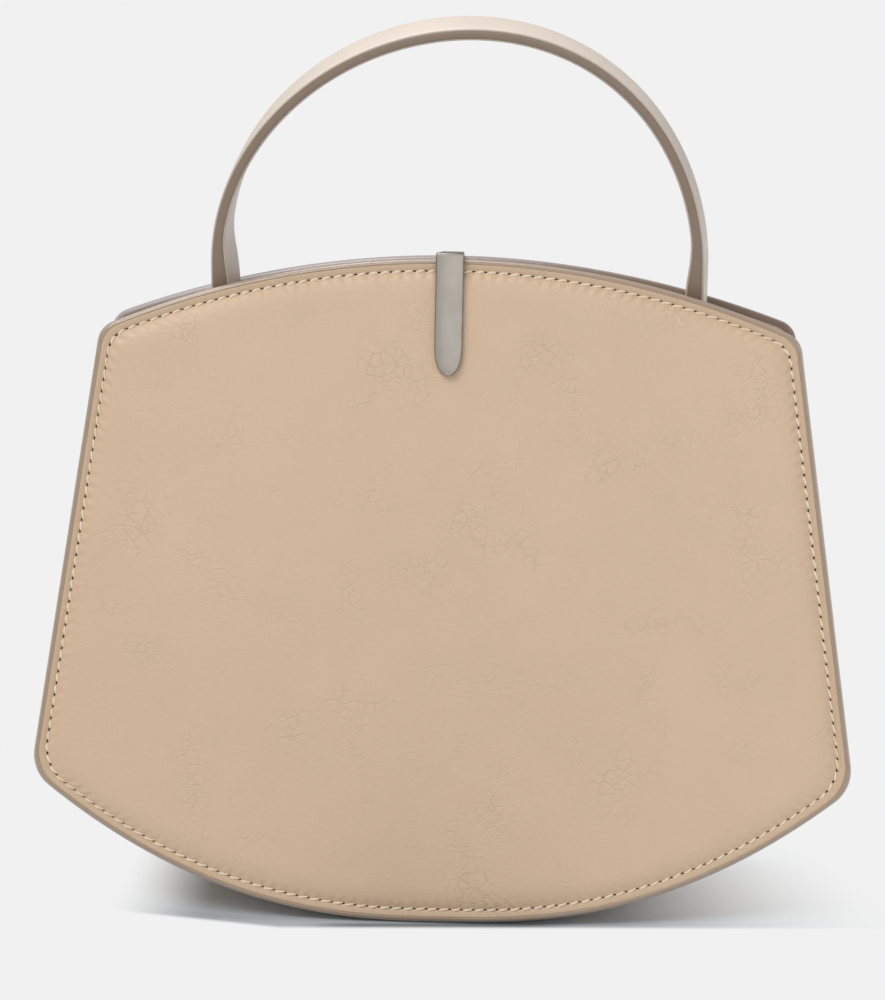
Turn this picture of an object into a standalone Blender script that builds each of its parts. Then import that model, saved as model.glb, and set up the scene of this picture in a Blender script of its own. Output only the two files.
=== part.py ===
"""A small structured leather bag with one arched handle and a metal tab that closes the mouth.

Two padded leather panels lean together over a curved base. Each panel is a stack of lining,
board, padding and leather inside a domed, painted edge. Folded gussets close the sides. The
handle is a leather strap on a core, held by two angle brackets inside the back panel. The tab
turns on a pin behind the back panel and reaches over the mouth, down the front panel.

Units are metres, +Z is up and the front faces -Y. The origin is the middle of the flat base.
"""

import math

import bmesh
import bpy
from mathutils import Vector

# Panel outline, measured in the plane of the panel
PANEL_HEIGHT = 0.1916
TOP_HALF_WIDTH = 0.1013
TOP_CROWN = 0.0214
BASE_HALF_WIDTH = 0.1190
BASE_CORNER_HEIGHT = 0.0412
BASE_FLAT_HALF_WIDTH = 0.0055
TOP_CORNER_TRIM = 0.0040
BASE_CORNER_TRIM = 0.0066
CORNER_EASE_SHARE = 0.2
BASE_CURVE_POWER = 2.25

# Stance of the two panels
BASE_DEPTH = 0.0850
MOUTH_DEPTH = 0.02505
BACK_BOW = 0.0060
BOW_POWER = 4.0

# Sheets of a panel, from the inside out, and the space left between neighbours
GAP = 0.0003
LINING = 0.0008
BOARD = 0.0014
LEATHER = 0.0012
PUFF = 0.0015
EDGE_WIDTH = 0.0015
EDGE_CREST = 0.0009
STITCH_INSET = 0.0037
PUFF_INSET = 0.0045
SHOULDER_INSET = 0.0058

# Base and side gussets
GUSSET_RECESS = 0.0010
GUSSET_TOP_DROP = 0.0050
GUSSET_LEATHER = 0.0010
GUSSET_LINING = 0.0006
FOLD_DEPTH = 0.0210
FOLD_POWER = 1.25

# Handle arch, on the front edge of the strap's outer face
ARCH_INSET = 0.0298
ARCH_HEIGHT = 0.0713
ARCH_SPRING = 0.0062
ARCH_OFFSET = 0.0018
ARCH_SKEW = 0.0047
HANDLE_SEAT_RISE = 0.0056
HANDLE_CLEARANCE = 0.0005
HANDLE_FRONT_CLEARANCE = 0.0020
HANDLE_TWIST = math.radians(6.0)
CROWN_TWIST = math.radians(-4.2)

# Strap section
STRAP_CROWN = 0.0034
STRAP_LEG = 0.0036
STRAP_FOOT = 0.0055
STRAP_LEATHER = 0.0011
STRAP_COAT = 0.0006
FLARE_TOP = 0.0125
FLARE_HEIGHT = 0.0220
FOOT_LENGTH = 0.0300

# Angle brackets that hold the handle, and their rivets
BRACKET_SHEET = 0.0012
BRACKET_HEIGHT = 0.0130
BRACKET_RISE = 0.0015
BRACKET_REACH = 0.0135
BRACKET_GRIP = 0.0110
RIVET_RADIUS = 0.0011
RIVET_HEAD_RADIUS = 0.0021
RIVET_HEAD = 0.0007
RIVET_SPACING = 0.0070

# Closing tab and its hinge
TAB_WIDTH = 0.0080
TAB_REAR_WIDTH = 0.0066
TAB_THICKNESS = 0.0015
TAB_REAR_THICKNESS = 0.0008
TAB_DROP = 0.0337
TAB_TIP_LENGTH = 0.0081
TAB_TIP_WIDTH = 0.0012
TAB_STANDOFF = 0.0005
TAB_REAR_STANDOFF = 0.0003
TAB_BEND = 0.0006
TAB_CHAMFER = 0.0003
TIP_POWER = 0.6
HINGE_DROP = 0.0030
KNUCKLE_RADIUS = 0.0019
KNUCKLE_WIDTH = 0.0052
NECK_FRONT = 0.0012
PIN_RADIUS = 0.0009
PLATE_WIDTH = 0.0130
PLATE_HEIGHT = 0.0130
PLATE_TOP_DROP = 0.0030
PLATE_SHEET = 0.0010
PLATE_CLEARANCE = 0.0004
PLATE_RIVET_RADIUS = 0.0008
PLATE_RIVET_HEAD_RADIUS = 0.0015
PLATE_RIVET_HEAD = 0.0005
PLATE_RIVET_SPACING = 0.0070
PLATE_RIVET_SHARE = 0.7
KNUCKLE_SETBACK = 0.0002

# Catch magnet under the front leather and the keeper let into the tab
MAGNET_RADIUS = 0.0040
MAGNET_DROP = 0.0200
KEEPER_RADIUS = 0.0024
KEEPER_THICKNESS = 0.0007

CUT_OVERRUN = 0.0010

# How finely curves are divided
BASE_STEPS = 7
CORNER_STEPS = 3
SIDE_STEPS = 3
TOP_STEPS = 7
ARCH_STEPS = 28
FOOT_STEPS = 4
ROUND_SIDES = 16
RING_SHARES = (0.15, 0.4, 0.7)
FOLD_SHARES = (-1.0, -0.66, -0.33, 0.0, 0.33, 0.66, 1.0)
SMOOTH_ANGLE = math.radians(32.0)
FLAT_SHARE = 1e-6

# The panels lean together from the base to the mouth, and the handle stands in from their corners
TOP_CORNER_HEIGHT = PANEL_HEIGHT - TOP_CROWN
TOP_RADIUS = (TOP_HALF_WIDTH**2 + TOP_CROWN**2) / (2 * TOP_CROWN)
PANEL_LEAN = math.asin((BASE_DEPTH - MOUTH_DEPTH) / 2 / PANEL_HEIGHT)
ARCH_HALF_SPAN = TOP_HALF_WIDTH - ARCH_INSET

# Levels of the sheets, measured outwards from the middle of the stack
STACK = LINING + GAP + BOARD + GAP + LEATHER
INNER_FACE = -STACK / 2
LINING_TOP = INNER_FACE + LINING
BOARD_LOW = LINING_TOP + GAP
BOARD_TOP = BOARD_LOW + BOARD
LEATHER_LOW = BOARD_TOP + GAP
OUTER_FACE = LEATHER_LOW + LEATHER
PUFFED_FACE = OUTER_FACE + PUFF
PADDING_LOW = BOARD_TOP + GAP
PADDING_TOP = LEATHER_LOW + PUFF - GAP
LIFT = EDGE_CREST * math.sin(PANEL_LEAN)
FRONT_HINGE = Vector((0.0, -BASE_DEPTH / 2 - PUFFED_FACE, 0.0))


def clear_scene():
    for obj in list(bpy.data.objects):
        bpy.data.objects.remove(obj, do_unlink=True)


def make_material(name, colour, roughness, metallic=0.0):
    """A plain surface with a linear colour."""
    material = bpy.data.materials.new(name)
    material.use_nodes = True
    shader = material.node_tree.nodes["Principled BSDF"]
    shader.inputs["Base Color"].default_value = (*colour, 1.0)
    shader.inputs["Roughness"].default_value = roughness
    shader.inputs["Metallic"].default_value = metallic
    material.diffuse_color = (*colour, 1.0)
    return material


def make_object(name, points, faces, material=None, parent=None):
    """A closed mesh in world coordinates, hung on an empty that stands on its joint's axis."""
    mesh = bpy.data.meshes.new(name)
    mesh.from_pydata([tuple(point) for point in points], [], faces)
    shape = bmesh.new()
    shape.from_mesh(mesh)
    bmesh.ops.recalc_face_normals(shape, faces=shape.faces)
    shape.to_mesh(mesh)
    shape.free()
    mesh.shade_smooth()
    mesh.set_sharp_from_angle(angle=SMOOTH_ANGLE)
    obj = bpy.data.objects.new(name, mesh)
    bpy.context.scene.collection.objects.link(obj)
    if material:
        mesh.materials.append(material)
    if parent:
        obj.parent = parent
        obj.location = -parent.location
    return obj


def make_empty(name, place):
    empty = bpy.data.objects.new(name, None)
    empty.location = place
    bpy.context.scene.collection.objects.link(empty)
    return empty


def split(a, b, c, d):
    """A four-sided face as two triangles, so that neighbouring sheets are divided alike."""
    return [(a, b, c), (a, c, d)]


def loft(sections, ring=False):
    """Points and faces of a solid through sections of equal count, closed in a ring or capped."""
    size = len(sections[0])
    points = [point for section in sections for point in section]
    faces = []
    last = len(sections) if ring else len(sections) - 1
    for row in range(last):
        here = row * size
        there = ((row + 1) % len(sections)) * size
        for i in range(size):
            j = (i + 1) % size
            faces.extend(split(here + i, here + j, there + j, there + i))
    if not ring:
        faces.append(tuple(range(size)))
        faces.append(tuple(range(len(points) - size, len(points))))
    return points, faces


def slab(near, far):
    """Points and faces of a sheet between two grids of points, both divided along one diagonal."""
    rows = len(near)
    columns = len(near[0])
    points = [point for row in near + far for point in row]
    offset = rows * columns
    faces = []
    for start in (0, offset):
        for row in range(rows - 1):
            for i in range(columns - 1):
                here = start + row * columns + i
                faces.extend(split(here, here + 1, here + columns + 1, here + columns))
    rim = list(range(columns))
    rim += [row * columns + columns - 1 for row in range(1, rows)]
    rim += [(rows - 1) * columns + i for i in range(columns - 2, -1, -1)]
    rim += [row * columns for row in range(rows - 2, 0, -1)]
    for i, here in enumerate(rim):
        there = rim[(i + 1) % len(rim)]
        faces.extend(split(here, there, offset + there, offset + here))
    return points, faces


def turned(profile, place, axis, sides=ROUND_SIDES):
    """A solid of revolution: profile rows are (distance along the axis, radius)."""
    axis = axis.normalized()
    across = axis.orthogonal().normalized()
    other = axis.cross(across)
    sections = []
    for along, radius in profile:
        section = []
        for i in range(sides):
            angle = math.tau * i / sides
            outwards = across * math.cos(angle) + other * math.sin(angle)
            section.append(place + axis * along + outwards * radius)
        sections.append(section)
    return loft(sections)


def combined(shapes):
    """Several closed shapes in one list of points and faces, for a cutter."""
    points = []
    faces = []
    for more_points, more_faces in shapes:
        start = len(points)
        points.extend(more_points)
        faces.extend(tuple(start + i for i in face) for face in more_faces)
    return points, faces


def add_boolean(obj, name, shape, operation="DIFFERENCE", parent=None):
    helper = make_object(name, *shape, parent=parent)
    helper.hide_render = True
    helper.display_type = "WIRE"
    modifier = obj.modifiers.new(name, "BOOLEAN")
    modifier.object = helper
    modifier.operation = operation
    modifier.solver = "EXACT"


def climbed(first, last, length):
    """Height gained along a length while the sine of the lean goes evenly from first to last."""
    if abs(last - first) < FLAT_SHARE:
        return length * math.sqrt(1.0 - first * first)

    def area(sine):
        return 0.5 * (sine * math.sqrt(1.0 - sine * sine) + math.asin(sine))

    return (area(last) - area(first)) * length / (last - first)


def panel_slope(side, u, v):
    """Sine of the panel's lean at a point of it."""
    bow = BACK_BOW if side > 0 else 0.0
    spread = 1.0 - min(abs(u) / TOP_HALF_WIDTH, 1.0) ** BOW_POWER
    return math.sin(PANEL_LEAN) + 2.0 * bow * spread * v / PANEL_HEIGHT**2


def panel_point(side, u, v, w):
    """A point at u across and v up the panel, w outwards from its middle. Side -1 is the front."""
    first = math.sin(PANEL_LEAN)
    last = panel_slope(side, u, v)
    inwards = v * (first + last) / 2
    outwards = BASE_DEPTH / 2 - inwards + w * math.sqrt(1.0 - last * last)
    return Vector((u, side * outwards, LIFT + climbed(first, last, v) + w * last))


def panel_at_height(side, u, z, w):
    """The point of a panel's face at height z."""
    v = z
    for _ in range(12):
        v += z - panel_point(side, u, v, w).z
    return panel_point(side, u, v, w)


def bend(start, corner, end, steps):
    """Points of a rounded corner between two trimmed lines, without its ends."""
    first = (corner - start).normalized()
    last = (end - corner).normalized()
    turn = first.angle(last)
    radius = (corner - start).length / math.tan(turn / 2)
    handle = 4 / 3 * math.tan(turn / 4) * radius
    near = start + first * handle
    far = end - last * handle
    points = []
    for i in range(1, steps + 1):
        t = i / (steps + 1)
        s = 1.0 - t
        point = start * s**3 + near * (3 * s * s * t) + far * (3 * s * t * t) + end * t**3
        points.append(point)
    return points


def base_curve(u):
    """Height of the outline's lower edge."""
    beyond = max(abs(u) - BASE_FLAT_HALF_WIDTH, 0.0)
    return BASE_CORNER_HEIGHT * (beyond / (BASE_HALF_WIDTH - BASE_FLAT_HALF_WIDTH)) ** BASE_CURVE_POWER


def top_curve(u):
    """Height of the outline's upper edge."""
    return PANEL_HEIGHT - TOP_RADIUS + math.sqrt(TOP_RADIUS**2 - u**2)


def side_line(v):
    share = (v - BASE_CORNER_HEIGHT) / (TOP_CORNER_HEIGHT - BASE_CORNER_HEIGHT)
    return BASE_HALF_WIDTH + (TOP_HALF_WIDTH - BASE_HALF_WIDTH) * share


def base_slope(u):
    run = BASE_HALF_WIDTH - BASE_FLAT_HALF_WIDTH
    beyond = max(u - BASE_FLAT_HALF_WIDTH, 0.0)
    return BASE_CURVE_POWER * BASE_CORNER_HEIGHT / run * (beyond / run) ** (BASE_CURVE_POWER - 1.0)


def base_inset(u, inset):
    """The point at an inset from the lower edge."""
    return Vector((u, base_curve(u))) + Vector((-base_slope(u), 1.0)).normalized() * inset


def panel_outline(inset):
    """The outline at an inset, from the base's middle to the right, up and round, and its side's ends."""
    base_corner = Vector((BASE_HALF_WIDTH, BASE_CORNER_HEIGHT))
    top_corner = Vector((TOP_HALF_WIDTH, TOP_CORNER_HEIGHT))
    up = (top_corner - base_corner).normalized()
    inwards = Vector((-up.y, up.x))
    inside = 0.0
    outside = BASE_HALF_WIDTH
    for _ in range(40):
        middle = (inside + outside) / 2
        if (base_inset(middle, inset) - base_corner).dot(inwards) > inset:
            inside = middle
        else:
            outside = middle
    corner = base_inset(inside, inset)
    trim = BASE_CORNER_TRIM + CORNER_EASE_SHARE * inset
    base_end = inside - trim / math.hypot(1.0, base_slope(inside))

    right = [Vector((0.0, inset))]
    for i in range(BASE_STEPS):
        u = BASE_FLAT_HALF_WIDTH + (base_end - BASE_FLAT_HALF_WIDTH) * i / (BASE_STEPS - 1)
        right.append(base_inset(u, inset))
    side_low = corner + up * trim
    right.extend(bend(right[-1], corner, side_low, CORNER_STEPS))
    side_start = len(right)

    middle = Vector((0.0, PANEL_HEIGHT - TOP_RADIUS))
    radius = TOP_RADIUS - inset
    reach = (corner - middle).dot(up)
    rest = (corner - middle).length_squared - radius * radius
    corner = corner + up * (math.sqrt(reach * reach - rest) - reach)
    trim = TOP_CORNER_TRIM + CORNER_EASE_SHARE * inset
    side_high = corner - up * trim
    for i in range(SIDE_STEPS + 1):
        right.append(side_low.lerp(side_high, i / SIDE_STEPS))
    side_end = len(right) - 1
    top_end = math.asin(corner.x / radius) - trim / radius
    top = []
    for i in range(TOP_STEPS):
        angle = top_end * (1.0 - i / (TOP_STEPS - 1))
        top.append(middle + Vector((math.sin(angle), math.cos(angle))) * radius)
    right.extend(bend(side_high, corner, top[0], CORNER_STEPS))
    right.extend(top)
    left = [Vector((-point.x, point.y)) for point in reversed(right[1:-1])]
    return right + left, side_start, side_end


OUTLINE, SIDE_START, SIDE_END = panel_outline(0.0)
CENTRE = Vector((0.0, PANEL_HEIGHT / 2))
INSET_OUTLINES = {}


def inset_point(index, inset, share=0.0):
    """A point of the outline moved inwards, then part of the way to the middle."""
    if inset not in INSET_OUTLINES:
        INSET_OUTLINES[inset] = panel_outline(inset)[0]
    return INSET_OUTLINES[inset][index].lerp(CENTRE, share)


def panel_sheet(name, material, side, parent, rings):
    """One sheet of a panel. Each ring is (inset, share, low face, high face)."""
    count = len(OUTLINE)
    points = []
    faces = []
    for face in (2, 3):
        for ring in rings:
            for i in range(count):
                spot = inset_point(i, ring[0], ring[1])
                points.append(panel_point(side, spot.x, spot.y, ring[face]))
        points.append(panel_point(side, CENTRE.x, CENTRE.y, rings[-1][face]))
    layer = len(rings) * count + 1
    for start in (0, layer):
        for row in range(len(rings) - 1):
            for i in range(count):
                j = (i + 1) % count
                here = start + row * count
                there = here + count
                faces.extend(split(here + i, here + j, there + j, there + i))
        last = start + (len(rings) - 1) * count
        for i in range(count):
            faces.append((last + i, last + (i + 1) % count, start + layer - 1))
    for i in range(count):
        j = (i + 1) % count
        faces.append((i, j, layer + j, layer + i))
    return make_object(name, points, faces, material, parent)


def flat_rings(low, high, start):
    """Rings of an even sheet that begins at an inset from the outline."""
    rings = [(start, 0.0, low, high), (SHOULDER_INSET, 0.0, low, high)]
    rings.extend((SHOULDER_INSET, share, low, high) for share in RING_SHARES)
    return rings


def leather_rings():
    """The leather lies flat outside its stitch line and rises over the padding inside it."""
    rises = ((EDGE_WIDTH + GAP, 0.0, 0.0), (STITCH_INSET, 0.0, 0.0), (PUFF_INSET, 0.0, 0.35))
    rises += ((SHOULDER_INSET, 0.0, 0.7), (SHOULDER_INSET, 0.04, 0.95))
    rises += tuple((SHOULDER_INSET, share, 1.0) for share in RING_SHARES)
    return [(i, s, LEATHER_LOW + PUFF * r, OUTER_FACE + PUFF * r) for i, s, r in rises]


def padding_rings():
    shoulder = PADDING_TOP - PUFF / 4
    rings = [(SHOULDER_INSET, 0.02, PADDING_LOW, shoulder)]
    rings.extend((SHOULDER_INSET, share, PADDING_LOW, PADDING_TOP) for share in RING_SHARES)
    return rings


def panel_edge(name, material, side, parent):
    """The domed painted edge that runs round the stack."""
    full = -INNER_FACE - GAP / 3
    crest = EDGE_CREST
    half = EDGE_WIDTH / 2
    shoulder = (full + crest) / 2 + (full - crest) / 4
    section = ((EDGE_WIDTH, -full), (half, -shoulder), (0.0, -crest))
    section += ((0.0, crest), (half, shoulder), (EDGE_WIDTH, full))
    sections = []
    for i in range(len(OUTLINE)):
        spots = [(inset_point(i, inset), w) for inset, w in section]
        sections.append([panel_point(side, spot.x, spot.y, w) for spot, w in spots])
    return make_object(name, *loft(sections, ring=True), material, parent)


def base_sheet(name, material, near, far, reach):
    """A sheet of the base, between two depths below the outline, as far round as an index."""
    count = len(OUTLINE)
    sections = []
    for i in range(-reach, reach + 1):
        outline = OUTLINE[i % count]
        share = max(abs(outline.x) - BASE_FLAT_HALF_WIDTH, 0.0) / (BASE_HALF_WIDTH - BASE_FLAT_HALF_WIDTH)
        section = []
        for depth, side in ((near, -1), (near, 1), (far, 1), (far, -1)):
            spot = inset_point(i % count, depth + GUSSET_RECESS * share)
            z = spot.y * math.cos(PANEL_LEAN)
            y = panel_at_height(side, spot.x, z, INNER_FACE - GAP).y
            section.append(Vector((spot.x, y, z)))
        sections.append(section)
    return make_object(name, *loft(sections), material)


def gusset_point(hand, u, z, place):
    """A point part of the way from the front lining to the back one, -1 to 1."""
    front = panel_at_height(-1, u, z, INNER_FACE - GAP).y
    back = panel_at_height(1, u, z, INNER_FACE - GAP).y
    return Vector((hand * u, (front + back) / 2 + (back - front) / 2 * place, z))


def side_gusset(name, material, hand, near, far):
    """A side wall that folds inwards along its middle, more so towards the mouth."""
    low = inset_point(SIDE_START, GUSSET_RECESS + LEATHER).y + GAP
    high = OUTLINE[SIDE_END].y - GUSSET_TOP_DROP
    steps = SIDE_STEPS + 2
    outside = []
    inside = []
    for step in range(steps + 1):
        share = step / steps
        v = low + (high - low) * share
        z = LIFT + v * math.cos(PANEL_LEAN)
        edge = side_line(v) - GUSSET_RECESS
        front = panel_at_height(-1, edge, z, INNER_FACE - GAP).y
        back = panel_at_height(1, edge, z, INNER_FACE - GAP).y
        fold = FOLD_DEPTH * share
        spread = math.hypot(1.0, fold / ((back - front) / 2))
        outer = []
        inner = []
        for place in FOLD_SHARES:
            u = edge - fold * (1.0 - abs(place) ** FOLD_POWER)
            outer.append(gusset_point(hand, u - near * spread, z, place))
            inner.append(gusset_point(hand, u - far * spread, z, place))
        outside.append(outer)
        inside.append(inner)
    return make_object(name, *slab(outside, inside), material)


def strap_frame():
    """Where the strap's front edge stands, and its directions up and across."""
    v = top_curve(ARCH_HALF_SPAN) + HANDLE_SEAT_RISE
    nearest = ARCH_HALF_SPAN - abs(ARCH_OFFSET) - STRAP_FOOT
    tilt = math.asin(panel_slope(1, nearest, v))
    seat = panel_point(1, nearest, v, INNER_FACE - HANDLE_CLEARANCE)
    up = Vector((0.0, -math.sin(tilt), math.cos(tilt)))
    across = Vector((math.tan(HANDLE_TWIST), math.cos(tilt), math.sin(tilt))).normalized()
    front = panel_at_height(-1, nearest, seat.z, INNER_FACE)
    width = (seat.y - front.y - HANDLE_FRONT_CLEARANCE) / across.y
    foot = Vector((0.0, seat.y, seat.z)) - Vector((0.0, across.y, across.z)) * width
    return foot, up, across, width


STRAP_SEAT, STRAP_UP, STRAP_ACROSS, STRAP_WIDTH = strap_frame()


def strap_thickness(h):
    leg = max(min(1.0 - h / ARCH_HEIGHT, 1.0), 0.0)
    even = STRAP_CROWN + (STRAP_LEG - STRAP_CROWN) * leg
    flare = min(max((FLARE_TOP - h) / FLARE_HEIGHT, 0.0), 1.0)
    return even + (STRAP_FOOT - STRAP_LEG) * flare * flare * (3.0 - 2.0 * flare)


def strap_stations():
    """Rows of (place on the outer face, direction inwards, height above the spring line)."""
    rows = []
    for hand in (-1, 1):
        feet = []
        for i in range(FOOT_STEPS):
            h = -FOOT_LENGTH * (1.0 - i / FOOT_STEPS)
            feet.append((hand * ARCH_HALF_SPAN + ARCH_OFFSET, h, -hand, 0.0))
        if hand > 0:
            feet.reverse()
        arch = []
        for i in range(ARCH_STEPS // 2 + 1):
            angle = math.pi * i / ARCH_STEPS
            h = ARCH_HEIGHT * math.sin(angle)
            u = ARCH_HALF_SPAN * math.cos(angle)
            lean = ARCH_SKEW * (h / ARCH_HEIGHT) ** 2
            run = -hand * ARCH_HALF_SPAN * math.sin(angle)
            run += 2 * ARCH_SKEW * h / ARCH_HEIGHT * math.cos(angle)
            rise = ARCH_HEIGHT * math.cos(angle)
            size = math.hypot(run, rise)
            inwards = (-hand * rise / size, hand * run / size)
            arch.append((hand * u + ARCH_OFFSET + lean, h, *inwards))
        if hand > 0:
            arch.reverse()
            rows.extend(arch[1:])
            rows.extend(feet)
        else:
            rows.extend(feet)
            rows.extend(arch)
    return rows


def strap_sway(h):
    """How much less far sideways the strap's back edge goes at a height than at the foot."""
    return (math.sin(CROWN_TWIST) - STRAP_ACROSS.x) * min(max(h / ARCH_HEIGHT, 0.0), 1.0)


def strap_point(row, depth, across):
    u, h, in_u, in_h = row
    place = STRAP_SEAT + STRAP_UP * (ARCH_SPRING + h + in_h * depth)
    sideways = u + in_u * depth + strap_sway(h) * across
    return place + Vector((sideways, 0.0, 0.0)) + STRAP_ACROSS * across


def strap_layer(name, material, depths, near, far):
    """One layer of the strap. Depths gives its outer and inner face at a strap thickness."""
    sections = []
    for row in strap_stations():
        outer, inner = depths(strap_thickness(row[1]))
        corners = ((outer, near), (outer, far), (inner, far), (inner, near))
        sections.append([strap_point(row, depth, across) for depth, across in corners])
    return make_object(name, *loft(sections), material)


def foot_row(hand, h):
    return (hand * ARCH_HALF_SPAN + ARCH_OFFSET, h, -hand, 0.0)


def bracket_levels():
    low = -FOOT_LENGTH + BRACKET_RISE
    return low, low + BRACKET_HEIGHT


def wall_point(x, z, w):
    """A point at a depth w on the back panel at a height."""
    return panel_at_height(1, x, z, w)


def make_bracket(name, material, hand):
    """An angle of sheet metal: one leg on the strap's inner face, the other on the back lining."""
    low, high = bracket_levels()
    grip_start = STRAP_WIDTH - BRACKET_GRIP
    seat = INNER_FACE - GAP
    sections = []
    for i in range(3):
        row = foot_row(hand, low + (high - low) * i / 2)
        near = strap_thickness(row[1]) + GAP
        far = near + BRACKET_SHEET
        back = STRAP_WIDTH - GAP
        front_near = strap_point(row, near, grip_start)
        front_far = strap_point(row, far, grip_start)
        corner = strap_point(row, near, back)
        corner = wall_point(corner.x, corner.z, seat)
        inside = strap_point(row, far, back)
        inside = wall_point(inside.x, inside.z, seat - BRACKET_SHEET)
        end_x = corner.x - hand * BRACKET_REACH
        end = wall_point(end_x, corner.z, seat)
        end_inside = wall_point(end_x, inside.z, seat - BRACKET_SHEET)
        sections.append([front_near, corner, end, end_inside, inside, front_far])
    return make_object(name, *loft(sections), material)


def rivet_heights():
    low, high = bracket_levels()
    middle = (low + high) / 2
    return {"lower": middle - RIVET_SPACING / 2, "upper": middle + RIVET_SPACING / 2}


def strap_rivet_line(hand, h):
    """Start, direction and length of a rivet through the strap's foot and the bracket."""
    row = foot_row(hand, h)
    across = STRAP_WIDTH - BRACKET_GRIP / 2 - GAP
    start = strap_point(row, 0.0, across)
    end = strap_point(row, strap_thickness(h) + GAP + BRACKET_SHEET, across)
    face = STRAP_UP.cross(STRAP_ACROSS).normalized()
    if face.x * hand > 0:
        face = -face
    return start, face, (end - start).dot(face)


def wall_rivet_line(hand, h):
    """Start and direction of a rivet through the bracket, the back lining and the back board."""
    row = foot_row(hand, h)
    corner = strap_point(row, strap_thickness(h), STRAP_WIDTH - GAP)
    x = corner.x - hand * (BRACKET_REACH / 2 + BRACKET_SHEET)
    start = wall_point(x, corner.z, INNER_FACE - GAP - BRACKET_SHEET)
    v = (corner.z - LIFT) / math.cos(PANEL_LEAN)
    slope = panel_slope(1, x, v)
    direction = Vector((0.0, math.sqrt(1.0 - slope * slope), slope))
    length = BRACKET_SHEET + GAP + BOARD_TOP - INNER_FACE
    return start, direction, length


def rivet_profile(length, radius, head_radius, head, tail_head):
    """A head that stands off by the gap, a shank, and a second head or a plain end."""
    rows = [(-GAP - head, head_radius), (-GAP, head_radius), (-GAP, radius)]
    if tail_head:
        rows += [(length + GAP, radius), (length + GAP, head_radius)]
        rows.append((length + GAP + head, head_radius))
    else:
        rows.append((length, radius))
    return rows


def hole(start, direction, length, radius):
    return turned(((-CUT_OVERRUN, radius), (length + CUT_OVERRUN, radius)), start, direction)


def hinge_place():
    """The tab's pin: behind the hinge plate, just below the back panel's crown."""
    crown = panel_point(1, 0.0, PANEL_HEIGHT, 0.0)
    plate_out = PUFFED_FACE + GAP + PLATE_SHEET
    face = panel_point(1, 0.0, PANEL_HEIGHT - HINGE_DROP, plate_out)
    return Vector((0.0, face.y + PLATE_CLEARANCE + KNUCKLE_RADIUS, crown.z - HINGE_DROP))


HINGE = hinge_place()


def tab_sections():
    """Sections of the tab from its tip, up the front, over both edges and down to the hinge."""
    near = PUFFED_FACE + TAB_STANDOFF
    far = near + TAB_THICKNESS
    under = panel_point(-1, 0.0, PANEL_HEIGHT, EDGE_CREST).z + TAB_STANDOFF
    sine = math.sin(PANEL_LEAN)
    cosine = math.cos(PANEL_LEAN)
    middle = near - TAB_BEND
    bend_v = (under - TAB_BEND - LIFT - middle * sine) / cosine
    centre = panel_point(-1, 0.0, bend_v, middle)
    ridge = panel_point(1, 0.0, PANEL_HEIGHT, EDGE_CREST) + Vector((0.0, 0.0, TAB_REAR_STANDOFF))
    end = HINGE + Vector((0.0, 0.0, KNUCKLE_RADIUS + TAB_STANDOFF))
    first_fall = math.atan2(under - ridge.z, ridge.y - centre.y)
    last_fall = math.atan2(ridge.z - end.z, end.y - ridge.y)
    tip = PANEL_HEIGHT - TAB_DROP
    rows = []
    for share in (0.0, 0.04, 0.12, 0.3, 0.55, 0.8, 1.0):
        v = tip + TAB_TIP_LENGTH * share
        width = max(TAB_WIDTH * (1.0 - (1.0 - share) ** 2) ** TIP_POWER, TAB_TIP_WIDTH)
        rows.append((panel_point(-1, 0.0, v, near), panel_point(-1, 0.0, v, far), width))
    turn = math.pi / 2 + first_fall - PANEL_LEAN
    for i in range(5):
        angle = PANEL_LEAN + turn * i / 4
        outwards = Vector((0.0, -math.cos(angle), math.sin(angle)))
        inner = centre + outwards * TAB_BEND
        square = math.cos(turn * min(i, 4 - i) / 4)
        outer = centre + outwards * ((TAB_BEND + TAB_THICKNESS) / square)
        rows.append((inner, outer, TAB_WIDTH))
    start, outer, _ = rows[-1]
    outwards = (outer - start).normalized()
    thick = (TAB_THICKNESS + TAB_REAR_THICKNESS) / 2
    inner = start.lerp(ridge, 0.5)
    rows.append((inner, inner + outwards * thick, (TAB_WIDTH + TAB_REAR_WIDTH) / 2))
    fall = (first_fall + last_fall) / 2
    outwards = Vector((0.0, math.sin(fall), math.cos(fall)))
    rows.append((ridge, ridge + outwards * TAB_REAR_THICKNESS, TAB_REAR_WIDTH))
    rows.append((end, end + Vector((0.0, 0.0, TAB_REAR_THICKNESS)), TAB_REAR_WIDTH))
    sections = []
    for inner, outer, width in rows:
        half = width / 2
        through = (outer - inner).normalized() * TAB_CHAMFER
        cut = min(TAB_CHAMFER, half / 3)
        section = []
        for x, point in (
            (-half + cut, inner),
            (half - cut, inner),
            (half, inner + through),
            (half, outer - through),
            (half - cut, outer),
            (-half + cut, outer),
            (-half, outer - through),
            (-half, inner + through),
        ):
            section.append(Vector((x, point.y, point.z)))
        sections.append(section)
    return sections, end.z


def box(low, high):
    corners = []
    for z in (low.z, high.z):
        section = [Vector((low.x, low.y, z)), Vector((high.x, low.y, z))]
        section += [Vector((high.x, high.y, z)), Vector((low.x, high.y, z))]
        corners.append(section)
    return loft(corners)


def barrel(radius, low, high):
    """A round along the hinge pin between two distances from the middle."""
    start = Vector((0.0, HINGE.y, HINGE.z))
    return turned(((low, radius), (high, radius)), start, Vector((1.0, 0.0, 0.0)))


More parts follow.
